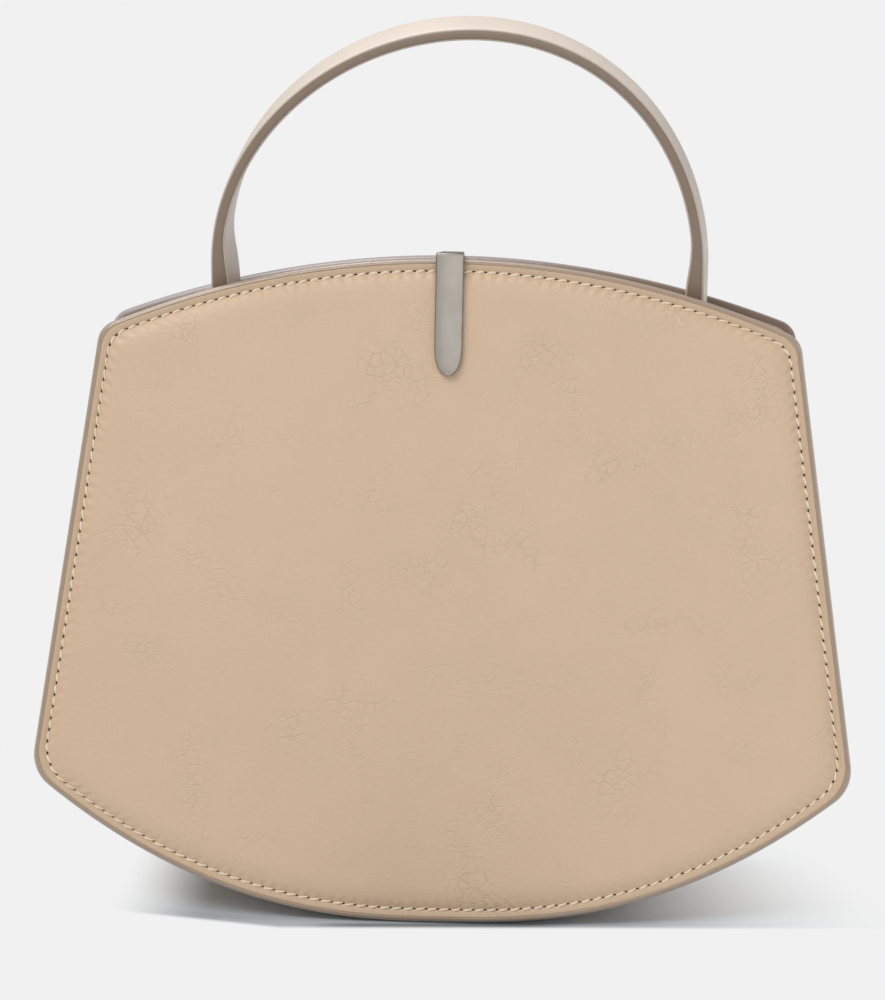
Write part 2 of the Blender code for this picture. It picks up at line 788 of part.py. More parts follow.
def make_tab(material, keeper_material, parent):
    sections, under = tab_sections()
    tab = make_object("clasp_tab", *loft(sections), material, parent)
    half = KNUCKLE_WIDTH / 2
    neck = half - KNUCKLE_SETBACK
    neck_low = Vector((-neck, HINGE.y - NECK_FRONT, HINGE.z))
    neck_high = Vector((neck, HINGE.y - GAP, under + TAB_REAR_THICKNESS / 2))
    add_boolean(tab, "tab_neck", box(neck_low, neck_high), "UNION", parent)
    add_boolean(tab, "tab_knuckle", barrel(KNUCKLE_RADIUS, -half, half), "UNION", parent)
    bore = barrel(PIN_RADIUS + GAP, -half - CUT_OVERRUN, half + CUT_OVERRUN)
    add_boolean(tab, "tab_bore", bore, "DIFFERENCE", parent)
    inner = PUFFED_FACE + TAB_STANDOFF
    seat = panel_point(-1, 0.0, PANEL_HEIGHT - MAGNET_DROP, inner)
    outwards = Vector((0.0, -math.cos(PANEL_LEAN), math.sin(PANEL_LEAN)))
    deep = KEEPER_THICKNESS + GAP
    pocket = turned(((-CUT_OVERRUN, KEEPER_RADIUS + GAP), (deep, KEEPER_RADIUS + GAP)), seat, outwards)
    add_boolean(tab, "keeper_pocket", pocket, "DIFFERENCE", parent)
    disc = turned(((0.0, KEEPER_RADIUS), (KEEPER_THICKNESS, KEEPER_RADIUS)), seat, outwards)
    make_object("clasp_keeper", *disc, keeper_material, parent)


def plate_rivet_line(hand):
    v = PANEL_HEIGHT - PLATE_TOP_DROP - PLATE_HEIGHT * PLATE_RIVET_SHARE
    x = hand * PLATE_RIVET_SPACING / 2
    start = panel_point(1, x, v, PUFFED_FACE + GAP + PLATE_SHEET)
    slope = panel_slope(1, x, v)
    direction = Vector((0.0, -math.sqrt(1.0 - slope * slope), -slope))
    length = PUFFED_FACE + GAP + PLATE_SHEET - BOARD_LOW
    return start, direction, length


def make_hinge(material):
    """The plate on the back panel, its two knuckles, the pin and the rivets."""
    low = PUFFED_FACE + GAP
    high = low + PLATE_SHEET
    half = PLATE_WIDTH / 2
    sections = []
    for i in range(4):
        v = PANEL_HEIGHT - PLATE_TOP_DROP - PLATE_HEIGHT * i / 3
        section = [panel_point(1, -half, v, low), panel_point(1, half, v, low)]
        section += [panel_point(1, half, v, high), panel_point(1, -half, v, high)]
        sections.append(section)
    plate = make_object("hinge_plate", *loft(sections), material)
    inside = KNUCKLE_WIDTH / 2 + GAP
    web_low = HINGE.z - KNUCKLE_RADIUS
    web_face = panel_point(1, 0.0, PANEL_HEIGHT - PLATE_TOP_DROP, low + PLATE_SHEET / 2).y
    outside = half - KNUCKLE_SETBACK
    for side, near, far in (("left", -outside, -inside), ("right", inside, outside)):
        low_corner = Vector((near, web_face, web_low))
        high_corner = Vector((far, HINGE.y, HINGE.z))
        add_boolean(plate, "web_" + side, box(low_corner, high_corner), "UNION")
        add_boolean(plate, "knuckle_" + side, barrel(KNUCKLE_RADIUS, near, far), "UNION")
    cuts = [barrel(PIN_RADIUS + GAP, -half - CUT_OVERRUN, half + CUT_OVERRUN)]
    for hand in (-1, 1):
        start, direction, length = plate_rivet_line(hand)
        cuts.append(hole(start, direction, length, PLATE_RIVET_RADIUS + GAP))
    add_boolean(plate, "hinge_cuts", combined(cuts))
    make_object("hinge_pin", *barrel(PIN_RADIUS, -half, half), material)
    for side, hand in (("left", -1), ("right", 1)):
        start, direction, length = plate_rivet_line(hand)
        profile = rivet_profile(
            length, PLATE_RIVET_RADIUS, PLATE_RIVET_HEAD_RADIUS, PLATE_RIVET_HEAD, False
        )
        make_object("hinge_rivet_" + side, *turned(profile, start, direction), material)


def make_handle(leather, coat, core, metal):
    side = STRAP_COAT + GAP
    far = STRAP_WIDTH - side
    skin = STRAP_LEATHER
    layers = [
        strap_layer("strap_outer", leather, lambda t: (0.0, skin), side, far),
        strap_layer("strap_core", core, lambda t: (skin + GAP, t - skin - GAP), side, far),
        strap_layer("strap_inner", leather, lambda t: (t - skin, t), side, far),
    ]
    strap_layer("strap_edge_front", coat, lambda t: (0.0, t), 0.0, STRAP_COAT)
    strap_layer("strap_edge_back", coat, lambda t: (0.0, t), STRAP_WIDTH - STRAP_COAT, STRAP_WIDTH)
    strap_holes = []
    wall_holes = []
    for name, hand in (("left", -1), ("right", 1)):
        bracket = make_bracket("bracket_" + name, metal, hand)
        bracket_holes = []
        for level, h in rivet_heights().items():
            start, direction, length = strap_rivet_line(hand, h)
            profile = rivet_profile(length, RIVET_RADIUS, RIVET_HEAD_RADIUS, RIVET_HEAD, True)
            rivet = turned(profile, start, direction)
            make_object(f"strap_rivet_{name}_{level}", *rivet, metal)
            cut = hole(start, direction, length, RIVET_RADIUS + GAP)
            strap_holes.append(cut)
            bracket_holes.append(cut)
            start, direction, length = wall_rivet_line(hand, h)
            profile = rivet_profile(length, RIVET_RADIUS, RIVET_HEAD_RADIUS, RIVET_HEAD, False)
            rivet = turned(profile, start, direction)
            make_object(f"wall_rivet_{name}_{level}", *rivet, metal)
            cut = hole(start, direction, length, RIVET_RADIUS + GAP)
            wall_holes.append(cut)
            bracket_holes.append(cut)
        add_boolean(bracket, f"bracket_{name}_holes", combined(bracket_holes))
    for layer in layers:
        add_boolean(layer, layer.name + "_holes", combined(strap_holes))
    return wall_holes


def make_panels(materials, front, wall_holes):
    leather, coat, foam, board, lining, magnet = materials
    start = EDGE_WIDTH + GAP
    for name, side, parent in (("front", -1, front), ("back", 1, None)):
        skin = panel_sheet(name + "_leather", leather, side, parent, leather_rings())
        panel_edge(name + "_edge", coat, side, parent)
        padding = panel_sheet(name + "_padding", foam, side, parent, padding_rings())
        stiff = flat_rings(BOARD_LOW, BOARD_TOP, start)
        stiffener = panel_sheet(name + "_board", board, side, parent, stiff)
        cloth = flat_rings(INNER_FACE, LINING_TOP, start)
        inside = panel_sheet(name + "_lining", lining, side, parent, cloth)
        if side > 0:
            rivets = []
            for hand in (-1, 1):
                spot, direction, length = plate_rivet_line(hand)
                rivets.append(hole(spot, direction, length, PLATE_RIVET_RADIUS + GAP))
            add_boolean(skin, "back_leather_holes", combined(rivets))
            add_boolean(padding, "back_padding_holes", combined(rivets))
            add_boolean(stiffener, "back_board_holes", combined(rivets + wall_holes))
            add_boolean(inside, "back_lining_holes", combined(wall_holes))
        else:
            seat = panel_point(side, 0.0, PANEL_HEIGHT - MAGNET_DROP, PADDING_LOW)
            outwards = Vector((0.0, -math.cos(PANEL_LEAN), math.sin(PANEL_LEAN)))
            thick = PADDING_TOP - PADDING_LOW
            room = hole(seat, outwards, thick, MAGNET_RADIUS + GAP)
            add_boolean(padding, "magnet_room", room, "DIFFERENCE", parent)
            disc = turned(((0.0, MAGNET_RADIUS), (thick, MAGNET_RADIUS)), seat, outwards)
            make_object("catch_magnet", *disc, magnet, parent)


def make_gussets(leather, board, lining):
    board_low = LEATHER + GAP
    lining_low = board_low + BOARD + GAP
    last_base = BASE_STEPS
    base_sheet("base_leather", leather, 0.0, LEATHER, SIDE_START)
    base_sheet("base_board", board, board_low, board_low + BOARD, last_base)
    base_sheet("base_lining", lining, lining_low, lining_low + LINING, SIDE_START)
    lined = GUSSET_LEATHER + GAP
    for name, hand in (("left", -1), ("right", 1)):
        side_gusset("side_gusset_" + name, leather, hand, 0.0, GUSSET_LEATHER)
        side_gusset("side_lining_" + name, lining, hand, lined, lined + GUSSET_LINING)


def main():
    clear_scene()
    leather = make_material("taupe_leather", (0.60, 0.48, 0.34), 0.5)
    strap_leather = make_material("pale_strap_leather", (0.73, 0.62, 0.54), 0.5)
    coat = make_material("edge_paint", (0.32, 0.24, 0.19), 0.35)
    foam = make_material("foam", (0.85, 0.81, 0.67), 0.9)
    board = make_material("fibre_board", (0.34, 0.23, 0.13), 0.8)
    lining = make_material("suede_lining", (0.37, 0.26, 0.20), 0.85)
    metal = make_material("satin_steel", (0.45, 0.42, 0.38), 0.35, 1.0)
    magnet = make_material("magnet_steel", (0.26, 0.26, 0.27), 0.3, 1.0)

    front = make_empty("front_panel_hinge", FRONT_HINGE)
    clasp = make_empty("clasp_hinge", HINGE)

    wall_holes = make_handle(strap_leather, coat, board, metal)
    make_panels((leather, coat, foam, board, lining, magnet), front, wall_holes)
    make_gussets(leather, board, lining)
    make_hinge(metal)
    make_tab(metal, magnet, clasp)


main()
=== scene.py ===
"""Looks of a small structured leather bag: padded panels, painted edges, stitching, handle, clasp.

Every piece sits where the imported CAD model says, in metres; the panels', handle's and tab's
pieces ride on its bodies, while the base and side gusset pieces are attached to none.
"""

import math
from functools import cache
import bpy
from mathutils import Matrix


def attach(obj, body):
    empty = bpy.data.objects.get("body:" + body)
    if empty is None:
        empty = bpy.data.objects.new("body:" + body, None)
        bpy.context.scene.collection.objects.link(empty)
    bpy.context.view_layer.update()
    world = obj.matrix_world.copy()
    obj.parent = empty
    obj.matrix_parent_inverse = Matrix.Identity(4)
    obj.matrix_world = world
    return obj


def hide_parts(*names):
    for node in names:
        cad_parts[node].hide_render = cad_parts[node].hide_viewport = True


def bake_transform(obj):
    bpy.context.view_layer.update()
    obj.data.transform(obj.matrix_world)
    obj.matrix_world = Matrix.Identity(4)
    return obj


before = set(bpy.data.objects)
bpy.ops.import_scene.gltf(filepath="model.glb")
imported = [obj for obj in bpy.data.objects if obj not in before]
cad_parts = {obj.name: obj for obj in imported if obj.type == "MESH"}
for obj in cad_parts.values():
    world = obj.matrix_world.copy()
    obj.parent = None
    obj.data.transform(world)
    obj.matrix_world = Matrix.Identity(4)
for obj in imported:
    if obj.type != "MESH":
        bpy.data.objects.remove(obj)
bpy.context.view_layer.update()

import bmesh
import bpy
import numpy as np
from mathutils import Matrix, Vector, noise

# Panel outline, as in the CAD model
PANEL_HEIGHT = 0.1916
TOP_HALF_WIDTH = 0.1013
TOP_CROWN = 0.0214
BASE_HALF_WIDTH = 0.1190
BASE_CORNER_HEIGHT = 0.0412
BASE_FLAT_HALF_WIDTH = 0.0055
TOP_CORNER_TRIM = 0.0040
BASE_CORNER_TRIM = 0.0066
CORNER_EASE_SHARE = 0.2
BASE_CURVE_POWER = 2.25
BASE_DEPTH = 0.0850
MOUTH_DEPTH = 0.02505
BACK_BOW = 0.0060
BOW_POWER = 4.0
GAP = 0.0003
LINING = 0.0008
BOARD = 0.0014
LEATHER = 0.0012
PUFF = 0.0015
EDGE_WIDTH = 0.0015
EDGE_CREST = 0.0009
STITCH_INSET = 0.0037
SHOULDER_INSET = 0.0058
GUSSET_RECESS = 0.0010
GUSSET_TOP_DROP = 0.0050
GUSSET_LEATHER = 0.0010
GUSSET_LINING = 0.0006
FOLD_DEPTH = 0.0210
FOLD_POWER = 1.25
FOLD_SOFT = 0.0035
FOLD_DRAW = 0.0018

# Handle and its strap
ARCH_INSET = 0.0298
ARCH_HEIGHT = 0.0713
ARCH_SPRING = 0.0062
ARCH_OFFSET = 0.0018
ARCH_SKEW = 0.0047
HANDLE_SEAT_RISE = 0.0056
HANDLE_CLEARANCE = 0.0005
HANDLE_FRONT_CLEARANCE = 0.0020
HANDLE_TWIST = math.radians(6.0)
CROWN_TWIST = math.radians(-4.2)
STRAP_CROWN = 0.0034
STRAP_LEG = 0.0036
STRAP_FOOT = 0.0055
STRAP_LEATHER = 0.0011
FLARE_TOP = 0.0125
FLARE_HEIGHT = 0.0220
FOOT_LENGTH = 0.0300

# Closing tab and its hinge
TAB_WIDTH = 0.0080
TAB_REAR_WIDTH = 0.0066
TAB_THICKNESS = 0.0015
TAB_REAR_THICKNESS = 0.0008
TAB_DROP = 0.0337
TAB_TIP_LENGTH = 0.0081
TAB_TIP_WIDTH = 0.0012
TAB_STANDOFF = 0.0005
TAB_REAR_STANDOFF = 0.0003
TAB_BEND = 0.0006
TIP_POWER = 0.38
HINGE_DROP = 0.0030
KNUCKLE_RADIUS = 0.0019
KNUCKLE_WIDTH = 0.0052
KNUCKLE_SETBACK = 0.0002
NECK_FRONT = 0.0012
PIN_RADIUS = 0.0009
PLATE_SHEET = 0.0010
PLATE_CLEARANCE = 0.0004
MAGNET_DROP = 0.0200
KEEPER_RADIUS = 0.0024
KEEPER_THICKNESS = 0.0007
CUT_OVERRUN = 0.0010

# Finish of the pieces
MARGIN_INSETS = (0.0016, 0.00165, 0.0018, 0.0022, 0.0027, 0.0031)
SEAM_STEPS = (-0.0004, -0.0002, 0.0, 0.0002, 0.0005, 0.0009, 0.0013, 0.0017)
SHOULDER_SHARES = (0.006, 0.013, 0.021, 0.03, 0.04, 0.052, 0.066, 0.082)
MIDDLE_SHARES = (0.1, 0.985)
MIDDLE_RINGS = 44
UNDER_INSET = 0.0035
UNDER_SHARES = (0.0, 0.15, 0.4, 0.7)
BACKING_SHARES = (0.0, 0.15, 0.42, 0.75)
LINING_SHARES = (0.0, 0.06, 0.15, 0.28, 0.42, 0.58, 0.75, 0.9)
STITCHES = 204
STEPS_PER_STITCH = 6
THREAD_RADIUS = 0.00044
THREAD_SLANT = 0.00028
THREAD_BOW = 0.00014
THREAD_RISE = 0.00016
THREAD_SINK = 0.00012
THREAD_ASIDE = 0.0010
STITCH_START = 0.13
STITCH_LENGTH = 0.80
HOLE_RADIUS = 0.00042
PUFF_RUN = 0.0080
PUFF_POWER = 2.8
MARGIN_SWELL = 0.00012
MARGIN_RISE = 0.00048
# Lift of the dark hole discs up the panel, to where each hole's shade falls: painted shade
HOLE_LIFT = 0.00024
HOLE_SINK = 0.00022
GROOVE = 0.00022
GROOVE_WIDTH = 0.00035
PUCKER = 0.00020
DIMPLE_PLACE = 0.0011
PLEAT_PLACE = 0.0014
SOFT_START = 0.0020
SOFT_RUN = 0.0080
WAVE = 0.00020
RIPPLE = 0.00007
SINK = 0.00008
RIM = 0.00010
# How the painted shade on the back edge's inner half grows from left to right
PAINTED_SHADE_RUN = 0.12
STRAP_SWELL = 0.00015
STRAP_RIM = 0.00030
SKIN_EDGE = 0.0007
SKIN_RIM = [(0.00045, 0.00015, 1.0), (0.00022, 0.00018, 1.0), (0.00007, 0.00034, 0.6)]
TAB_ROUND = 0.00042
TAB_SQUARE = 14.0
TAB_SHARP = math.radians(24)

# How finely curves are divided
BASE_STEPS = 90
CORNER_STEPS = 24
FLAT_STEPS = 9
SIDE_STEPS = 60
TOP_STEPS = 90
ARCH_STEPS = 96
GUSSET_ROWS = 44
GUSSET_COLUMNS = 36
BASE_COLUMNS = 10
FOOT_STEPS = 16
TIP_STEPS = 24
TIP_EASE = 1.8
TURN_STEPS = 12
FLAT_SHARE = 1e-6

# Camera, fitted to the photograph
CAMERA_YAW = math.radians(2.13)
CAMERA_PITCH = math.radians(9.5)
CAMERA_ROLL = math.radians(0.775)
CAMERA_DISTANCE = 1.060
CAMERA_TARGET = Vector((-0.00185, 0.0, 0.11664))
SENSOR = 36.0
FOCAL_SHARE = 3.586

BASE_RUN = BASE_HALF_WIDTH - BASE_FLAT_HALF_WIDTH
PANEL_LEAN = math.asin((BASE_DEPTH - MOUTH_DEPTH) / 2 / PANEL_HEIGHT)
TOP_CORNER_HEIGHT = PANEL_HEIGHT - TOP_CROWN
TOP_RADIUS = (TOP_HALF_WIDTH**2 + TOP_CROWN**2) / (2 * TOP_CROWN)
ARCH_HALF_SPAN = TOP_HALF_WIDTH - ARCH_INSET
STACK = LINING + GAP + BOARD + GAP + LEATHER
INNER_FACE = -STACK / 2
LINING_TOP = INNER_FACE + LINING
LEATHER_LOW = LINING_TOP + GAP + BOARD + GAP
OUTER_FACE = LEATHER_LOW + LEATHER
PUFFED_FACE = OUTER_FACE + PUFF
LIFT = EDGE_CREST * math.sin(PANEL_LEAN)
CENTRE = Vector((0.0, PANEL_HEIGHT / 2))


# The panels' shape

def climbed(first, last, length):
    """Height gained along a length while the sine of the lean goes evenly from first to last."""
    if abs(last - first) < FLAT_SHARE:
        return length * math.sqrt(1.0 - first * first)

    def area(sine):
        return 0.5 * (sine * math.sqrt(1.0 - sine * sine) + math.asin(sine))

    return (area(last) - area(first)) * length / (last - first)


def panel_slope(side, u, v):
    bow = BACK_BOW if side > 0 else 0.0
    spread = 1.0 - min(abs(u) / TOP_HALF_WIDTH, 1.0) ** BOW_POWER
    return math.sin(PANEL_LEAN) + 2.0 * bow * spread * v / PANEL_HEIGHT**2


def panel_point(side, u, v, w):
    """A point at u across and v up the panel, w outwards from its middle. Side -1 is the front."""
    first = math.sin(PANEL_LEAN)
    last = panel_slope(side, u, v)
    inwards = v * (first + last) / 2
    outwards = BASE_DEPTH / 2 - inwards + w * math.sqrt(1.0 - last * last)
    return Vector((u, side * outwards, LIFT + climbed(first, last, v) + w * last))


def panel_at_height(side, u, z, w):
    v = z
    for _ in range(12):
        v += z - panel_point(side, u, v, w).z
    return panel_point(side, u, v, w)


def bend(start, corner, end, steps):
    """Points of a rounded corner between two trimmed lines, without its ends."""
    first = (corner - start).normalized()
    last = (end - corner).normalized()
    turn = first.angle(last)
    radius = (corner - start).length / math.tan(turn / 2)
    handle = 4 / 3 * math.tan(turn / 4) * radius
    near = start + first * handle
    far = end - last * handle
    points = []
    for i in range(1, steps + 1):
        t = i / (steps + 1)
        s = 1.0 - t
        points.append(start * s**3 + near * (3 * s * s * t) + far * (3 * s * t * t) + end * t**3)
    return points


def base_curve(u):
    beyond = max(abs(u) - BASE_FLAT_HALF_WIDTH, 0.0)
    return BASE_CORNER_HEIGHT * (beyond / BASE_RUN) ** BASE_CURVE_POWER


def top_curve(u):
    return PANEL_HEIGHT - TOP_RADIUS + math.sqrt(TOP_RADIUS**2 - u**2)


def side_line(v):
    share = (v - BASE_CORNER_HEIGHT) / (TOP_CORNER_HEIGHT - BASE_CORNER_HEIGHT)
    return BASE_HALF_WIDTH + (TOP_HALF_WIDTH - BASE_HALF_WIDTH) * share


def base_slope(u):
    share = max(u - BASE_FLAT_HALF_WIDTH, 0.0) / BASE_RUN
    return BASE_CURVE_POWER * BASE_CORNER_HEIGHT / BASE_RUN * share ** (BASE_CURVE_POWER - 1.0)


def base_inset(u, inset):
    """The point at an inset from the lower edge."""
    return Vector((u, base_curve(u))) + Vector((-base_slope(u), 1.0)).normalized() * inset


def panel_outline(inset):
    """The outline at an inset, from the base's middle round by the right, and its side's ends."""
    base_corner = Vector((BASE_HALF_WIDTH, BASE_CORNER_HEIGHT))
    top_corner = Vector((TOP_HALF_WIDTH, TOP_CORNER_HEIGHT))
    up = (top_corner - base_corner).normalized()
    inwards = Vector((-up.y, up.x))
    inside = 0.0
    outside = BASE_HALF_WIDTH
    for _ in range(40):
        middle = (inside + outside) / 2
        if (base_inset(middle, inset) - base_corner).dot(inwards) > inset:
            inside = middle
        else:
            outside = middle
    corner = base_inset(inside, inset)
    trim = BASE_CORNER_TRIM + CORNER_EASE_SHARE * inset
    base_end = inside - trim / math.hypot(1.0, base_slope(inside))

    right = [Vector((BASE_FLAT_HALF_WIDTH * i / FLAT_STEPS, inset)) for i in range(FLAT_STEPS)]
    for i in range(BASE_STEPS):
        u = BASE_FLAT_HALF_WIDTH + (base_end - BASE_FLAT_HALF_WIDTH) * i / (BASE_STEPS - 1)
        right.append(base_inset(u, inset))
    side_low = corner + up * trim
    right.extend(bend(right[-1], corner, side_low, CORNER_STEPS))
    side_start = len(right)

    middle = Vector((0.0, PANEL_HEIGHT - TOP_RADIUS))
    radius = TOP_RADIUS - inset
    reach = (corner - middle).dot(up)
    rest = (corner - middle).length_squared - radius * radius
    corner = corner + up * (math.sqrt(reach * reach - rest) - reach)
    trim = TOP_CORNER_TRIM + CORNER_EASE_SHARE * inset
    side_high = corner - up * trim
    right += [side_low.lerp(side_high, i / SIDE_STEPS) for i in range(SIDE_STEPS + 1)]
    side_end = len(right) - 1
    top_end = math.asin(corner.x / radius) - trim / radius
    top = []
    for i in range(TOP_STEPS):
        angle = top_end * (1.0 - i / (TOP_STEPS - 1))
        top.append(middle + Vector((math.sin(angle), math.cos(angle))) * radius)
    right.extend(bend(side_high, corner, top[0], CORNER_STEPS))
    right.extend(top)
    left = [Vector((-point.x, point.y)) for point in reversed(right[1:-1])]
    return right + left, side_start, side_end


OUTLINE, SIDE_START, SIDE_END = panel_outline(0.0)


@cache
def inset_points(inset):
    """The outline at an inset as a closed array."""
    points = np.array([tuple(point) for point in panel_outline(inset)[0]])
    return np.vstack((points, points[:1]))


def stitch_run():
    """Inward directions along the stitch line, and the run along it, closed."""
    points = inset_points(STITCH_INSET)
    run = np.concatenate(([0.0], np.cumsum(np.linalg.norm(np.diff(points, axis=0), axis=1))))
    along = np.roll(points[:-1], -1, 0) - np.roll(points[:-1], 1, 0)
    along /= np.linalg.norm(along, axis=1)[:, None]
    inward = np.column_stack((-along[:, 1], along[:, 0]))
    return np.vstack((inward, inward[:1])), run


INWARD, RUN = stitch_run()


def ring(count, inset, share=0.0, shift=0.0):
    """Points (u, v) evenly spaced along the stitch line at an inset, moved towards the middle."""
    run = (np.arange(count) / count * RUN[-1] + shift) % RUN[-1]
    spots, inward = (
        np.column_stack([np.interp(run, RUN, table[:, k]) for k in (0, 1)])
        for table in (inset_points(inset), INWARD)
    )
    centre = np.array(tuple(CENTRE))
    depth = inset + share * np.einsum("ij,ij->i", centre - spots, inward)
    return spots + (centre - spots) * share, depth, run


def lay(side, count, inset, level, share=0.0, shift=0.0):
    """The ring's points at a level on a panel."""
    return [panel_point(side, u, v, level) for u, v in ring(count, inset, share, shift)[0]]


def centre_point(side, level):
    return panel_point(side, CENTRE.x, CENTRE.y, level)


# Mesh helpers

def placed(name, data):
    obj = bpy.data.objects.new(name, data)
    bpy.context.scene.collection.objects.link(obj)
    return obj


def piece(name, points, faces, material, sharp=None):
    """A closed mesh in the row frame."""
    mesh = bpy.data.meshes.new(name)
    mesh.from_pydata([tuple(point) for point in points], [], faces)
    shape = bmesh.new()
    shape.from_mesh(mesh)
    bmesh.ops.recalc_face_normals(shape, faces=shape.faces)
    shape.to_mesh(mesh)
    shape.free()
    mesh.shade_smooth()
    if sharp:
        mesh.set_sharp_from_angle(angle=math.radians(sharp))
    mesh.materials.append(material)
    return placed(name, mesh)


def loft(sections, closed=False):
    """Points and faces of a solid through sections of equal count, closed in a ring or capped."""
    size = len(sections[0])
    points = [point for section in sections for point in section]
    faces = []
    for row in range(len(sections) if closed else len(sections) - 1):
        here = row * size
        there = ((row + 1) % len(sections)) * size
        for i in range(size):
            j = (i + 1) % size
            faces.append((here + i, here + j, there + j, there + i))
    if not closed:
        faces.append(tuple(range(size)))
        faces.append(tuple(range(len(points) - size, len(points))))
    return points, faces


def joined(solids):
    """The points and faces of many solids through sections, in one mesh."""
    points = []
    faces = []
    for sections in solids:
        more_points, more_faces = loft(sections)
        faces.extend(tuple(len(points) + n for n in face) for face in more_faces)
        points.extend(more_points)
    return points, faces


def rings_solid(rings, first, last):
    """A solid through rings, whose counts may halve or double, closed by a point at each end."""
    points = [first]
    starts = []
    for rows in rings:
        starts.append(len(points))
        points.extend(rows)
    points.append(last)
    size = len(rings[0])
    faces = [(0, starts[0] + (i + 1) % size, starts[0] + i) for i in range(size)]
    for a, b in zip(range(len(rings) - 1), range(1, len(rings))):
        fine, coarse = (a, b) if len(rings[a]) >= len(rings[b]) else (b, a)
        n, m = len(rings[fine]), len(rings[coarse])
        s, t = starts[fine], starts[coarse]
        if n == m:
            faces.extend((s + i, s + (i + 1) % n, t + (i + 1) % n, t + i) for i in range(n))
            continue
        for k in range(m):
            f0, f1, f2 = s + 2 * k, s + 2 * k + 1, s + (2 * k + 2) % n
            c0, c1 = t + k, t + (k + 1) % m
            faces.extend(((f0, f1, c0), (f1, c1, c0), (f1, f2, c1)))
    size = len(rings[-1])
    end = len(points) - 1
    faces.extend((end, starts[-1] + i, starts[-1] + (i + 1) % size) for i in range(size))
    return points, faces


def set_share(obj, name, values):
    """A named number on every vertex."""
    attribute = obj.data.attributes.new(name, "FLOAT", "POINT")
    attribute.data.foreach_set("value", np.asarray(values, np.float32))


def circle(middle, first, second, radius, sides):
    points = []
    for i in range(sides):
        angle = math.tau * i / sides
        points.append(middle + (first * math.cos(angle) + second * math.sin(angle)) * radius)
    return points


def rod(low, high, radius, place, axis, sides=48):
    """A cylinder between two distances along an axis."""
    axis = axis.normalized()
    across = axis.orthogonal().normalized()
    other = axis.cross(across)
    return loft([circle(place + axis * x, across, other, radius, sides) for x in (low, high)])


def box(low, high):
    corners = ((low.x, low.y), (high.x, low.y), (high.x, high.y), (low.x, high.y))
    return loft([[Vector((x, y, z)) for x, y in corners] for z in (low.z, high.z)])


# Materials

def tone(*screen):
    """A linear colour from the 0 to 255 values of a screen: red, green and blue."""
    shares = [value / 255 for value in screen]
    return (*(s / 12.92 if s <= 0.04045 else ((s + 0.055) / 1.055) ** 2.4 for s in shares), 1.0)


def shade(colour, factor):
    return tuple(min(value * factor, 1.0) for value in colour[:3]) + (1.0,)


def fill(node, **values):
    """Sets sockets by name, with _ for a space."""
    for name, value in values.items():
        node.inputs[name.replace("_", " ")].default_value = value


def feed(tree, source, target):
    """Links a socket, or sets a plain value."""
    if isinstance(source, bpy.types.NodeSocket):
        tree.links.new(source, target)
    else:
        target.default_value = source


def worked(tree, operation, first, second):
    """The sum, product or such of two values."""
    node = tree.nodes.new("ShaderNodeMath")
    node.operation = operation
    feed(tree, first, node.inputs[0])
    feed(tree, second, node.inputs[1])
    return node.outputs[0]


def choose(tree, share, first, second, output):
    """Shows one shader or the other."""
    node = tree.nodes.new("ShaderNodeMixShader")
    for source, target in zip((share, first, second), node.inputs):
        tree.links.new(source, target)
    tree.links.new(node.outputs[0], tree.nodes[output].inputs["Surface"])


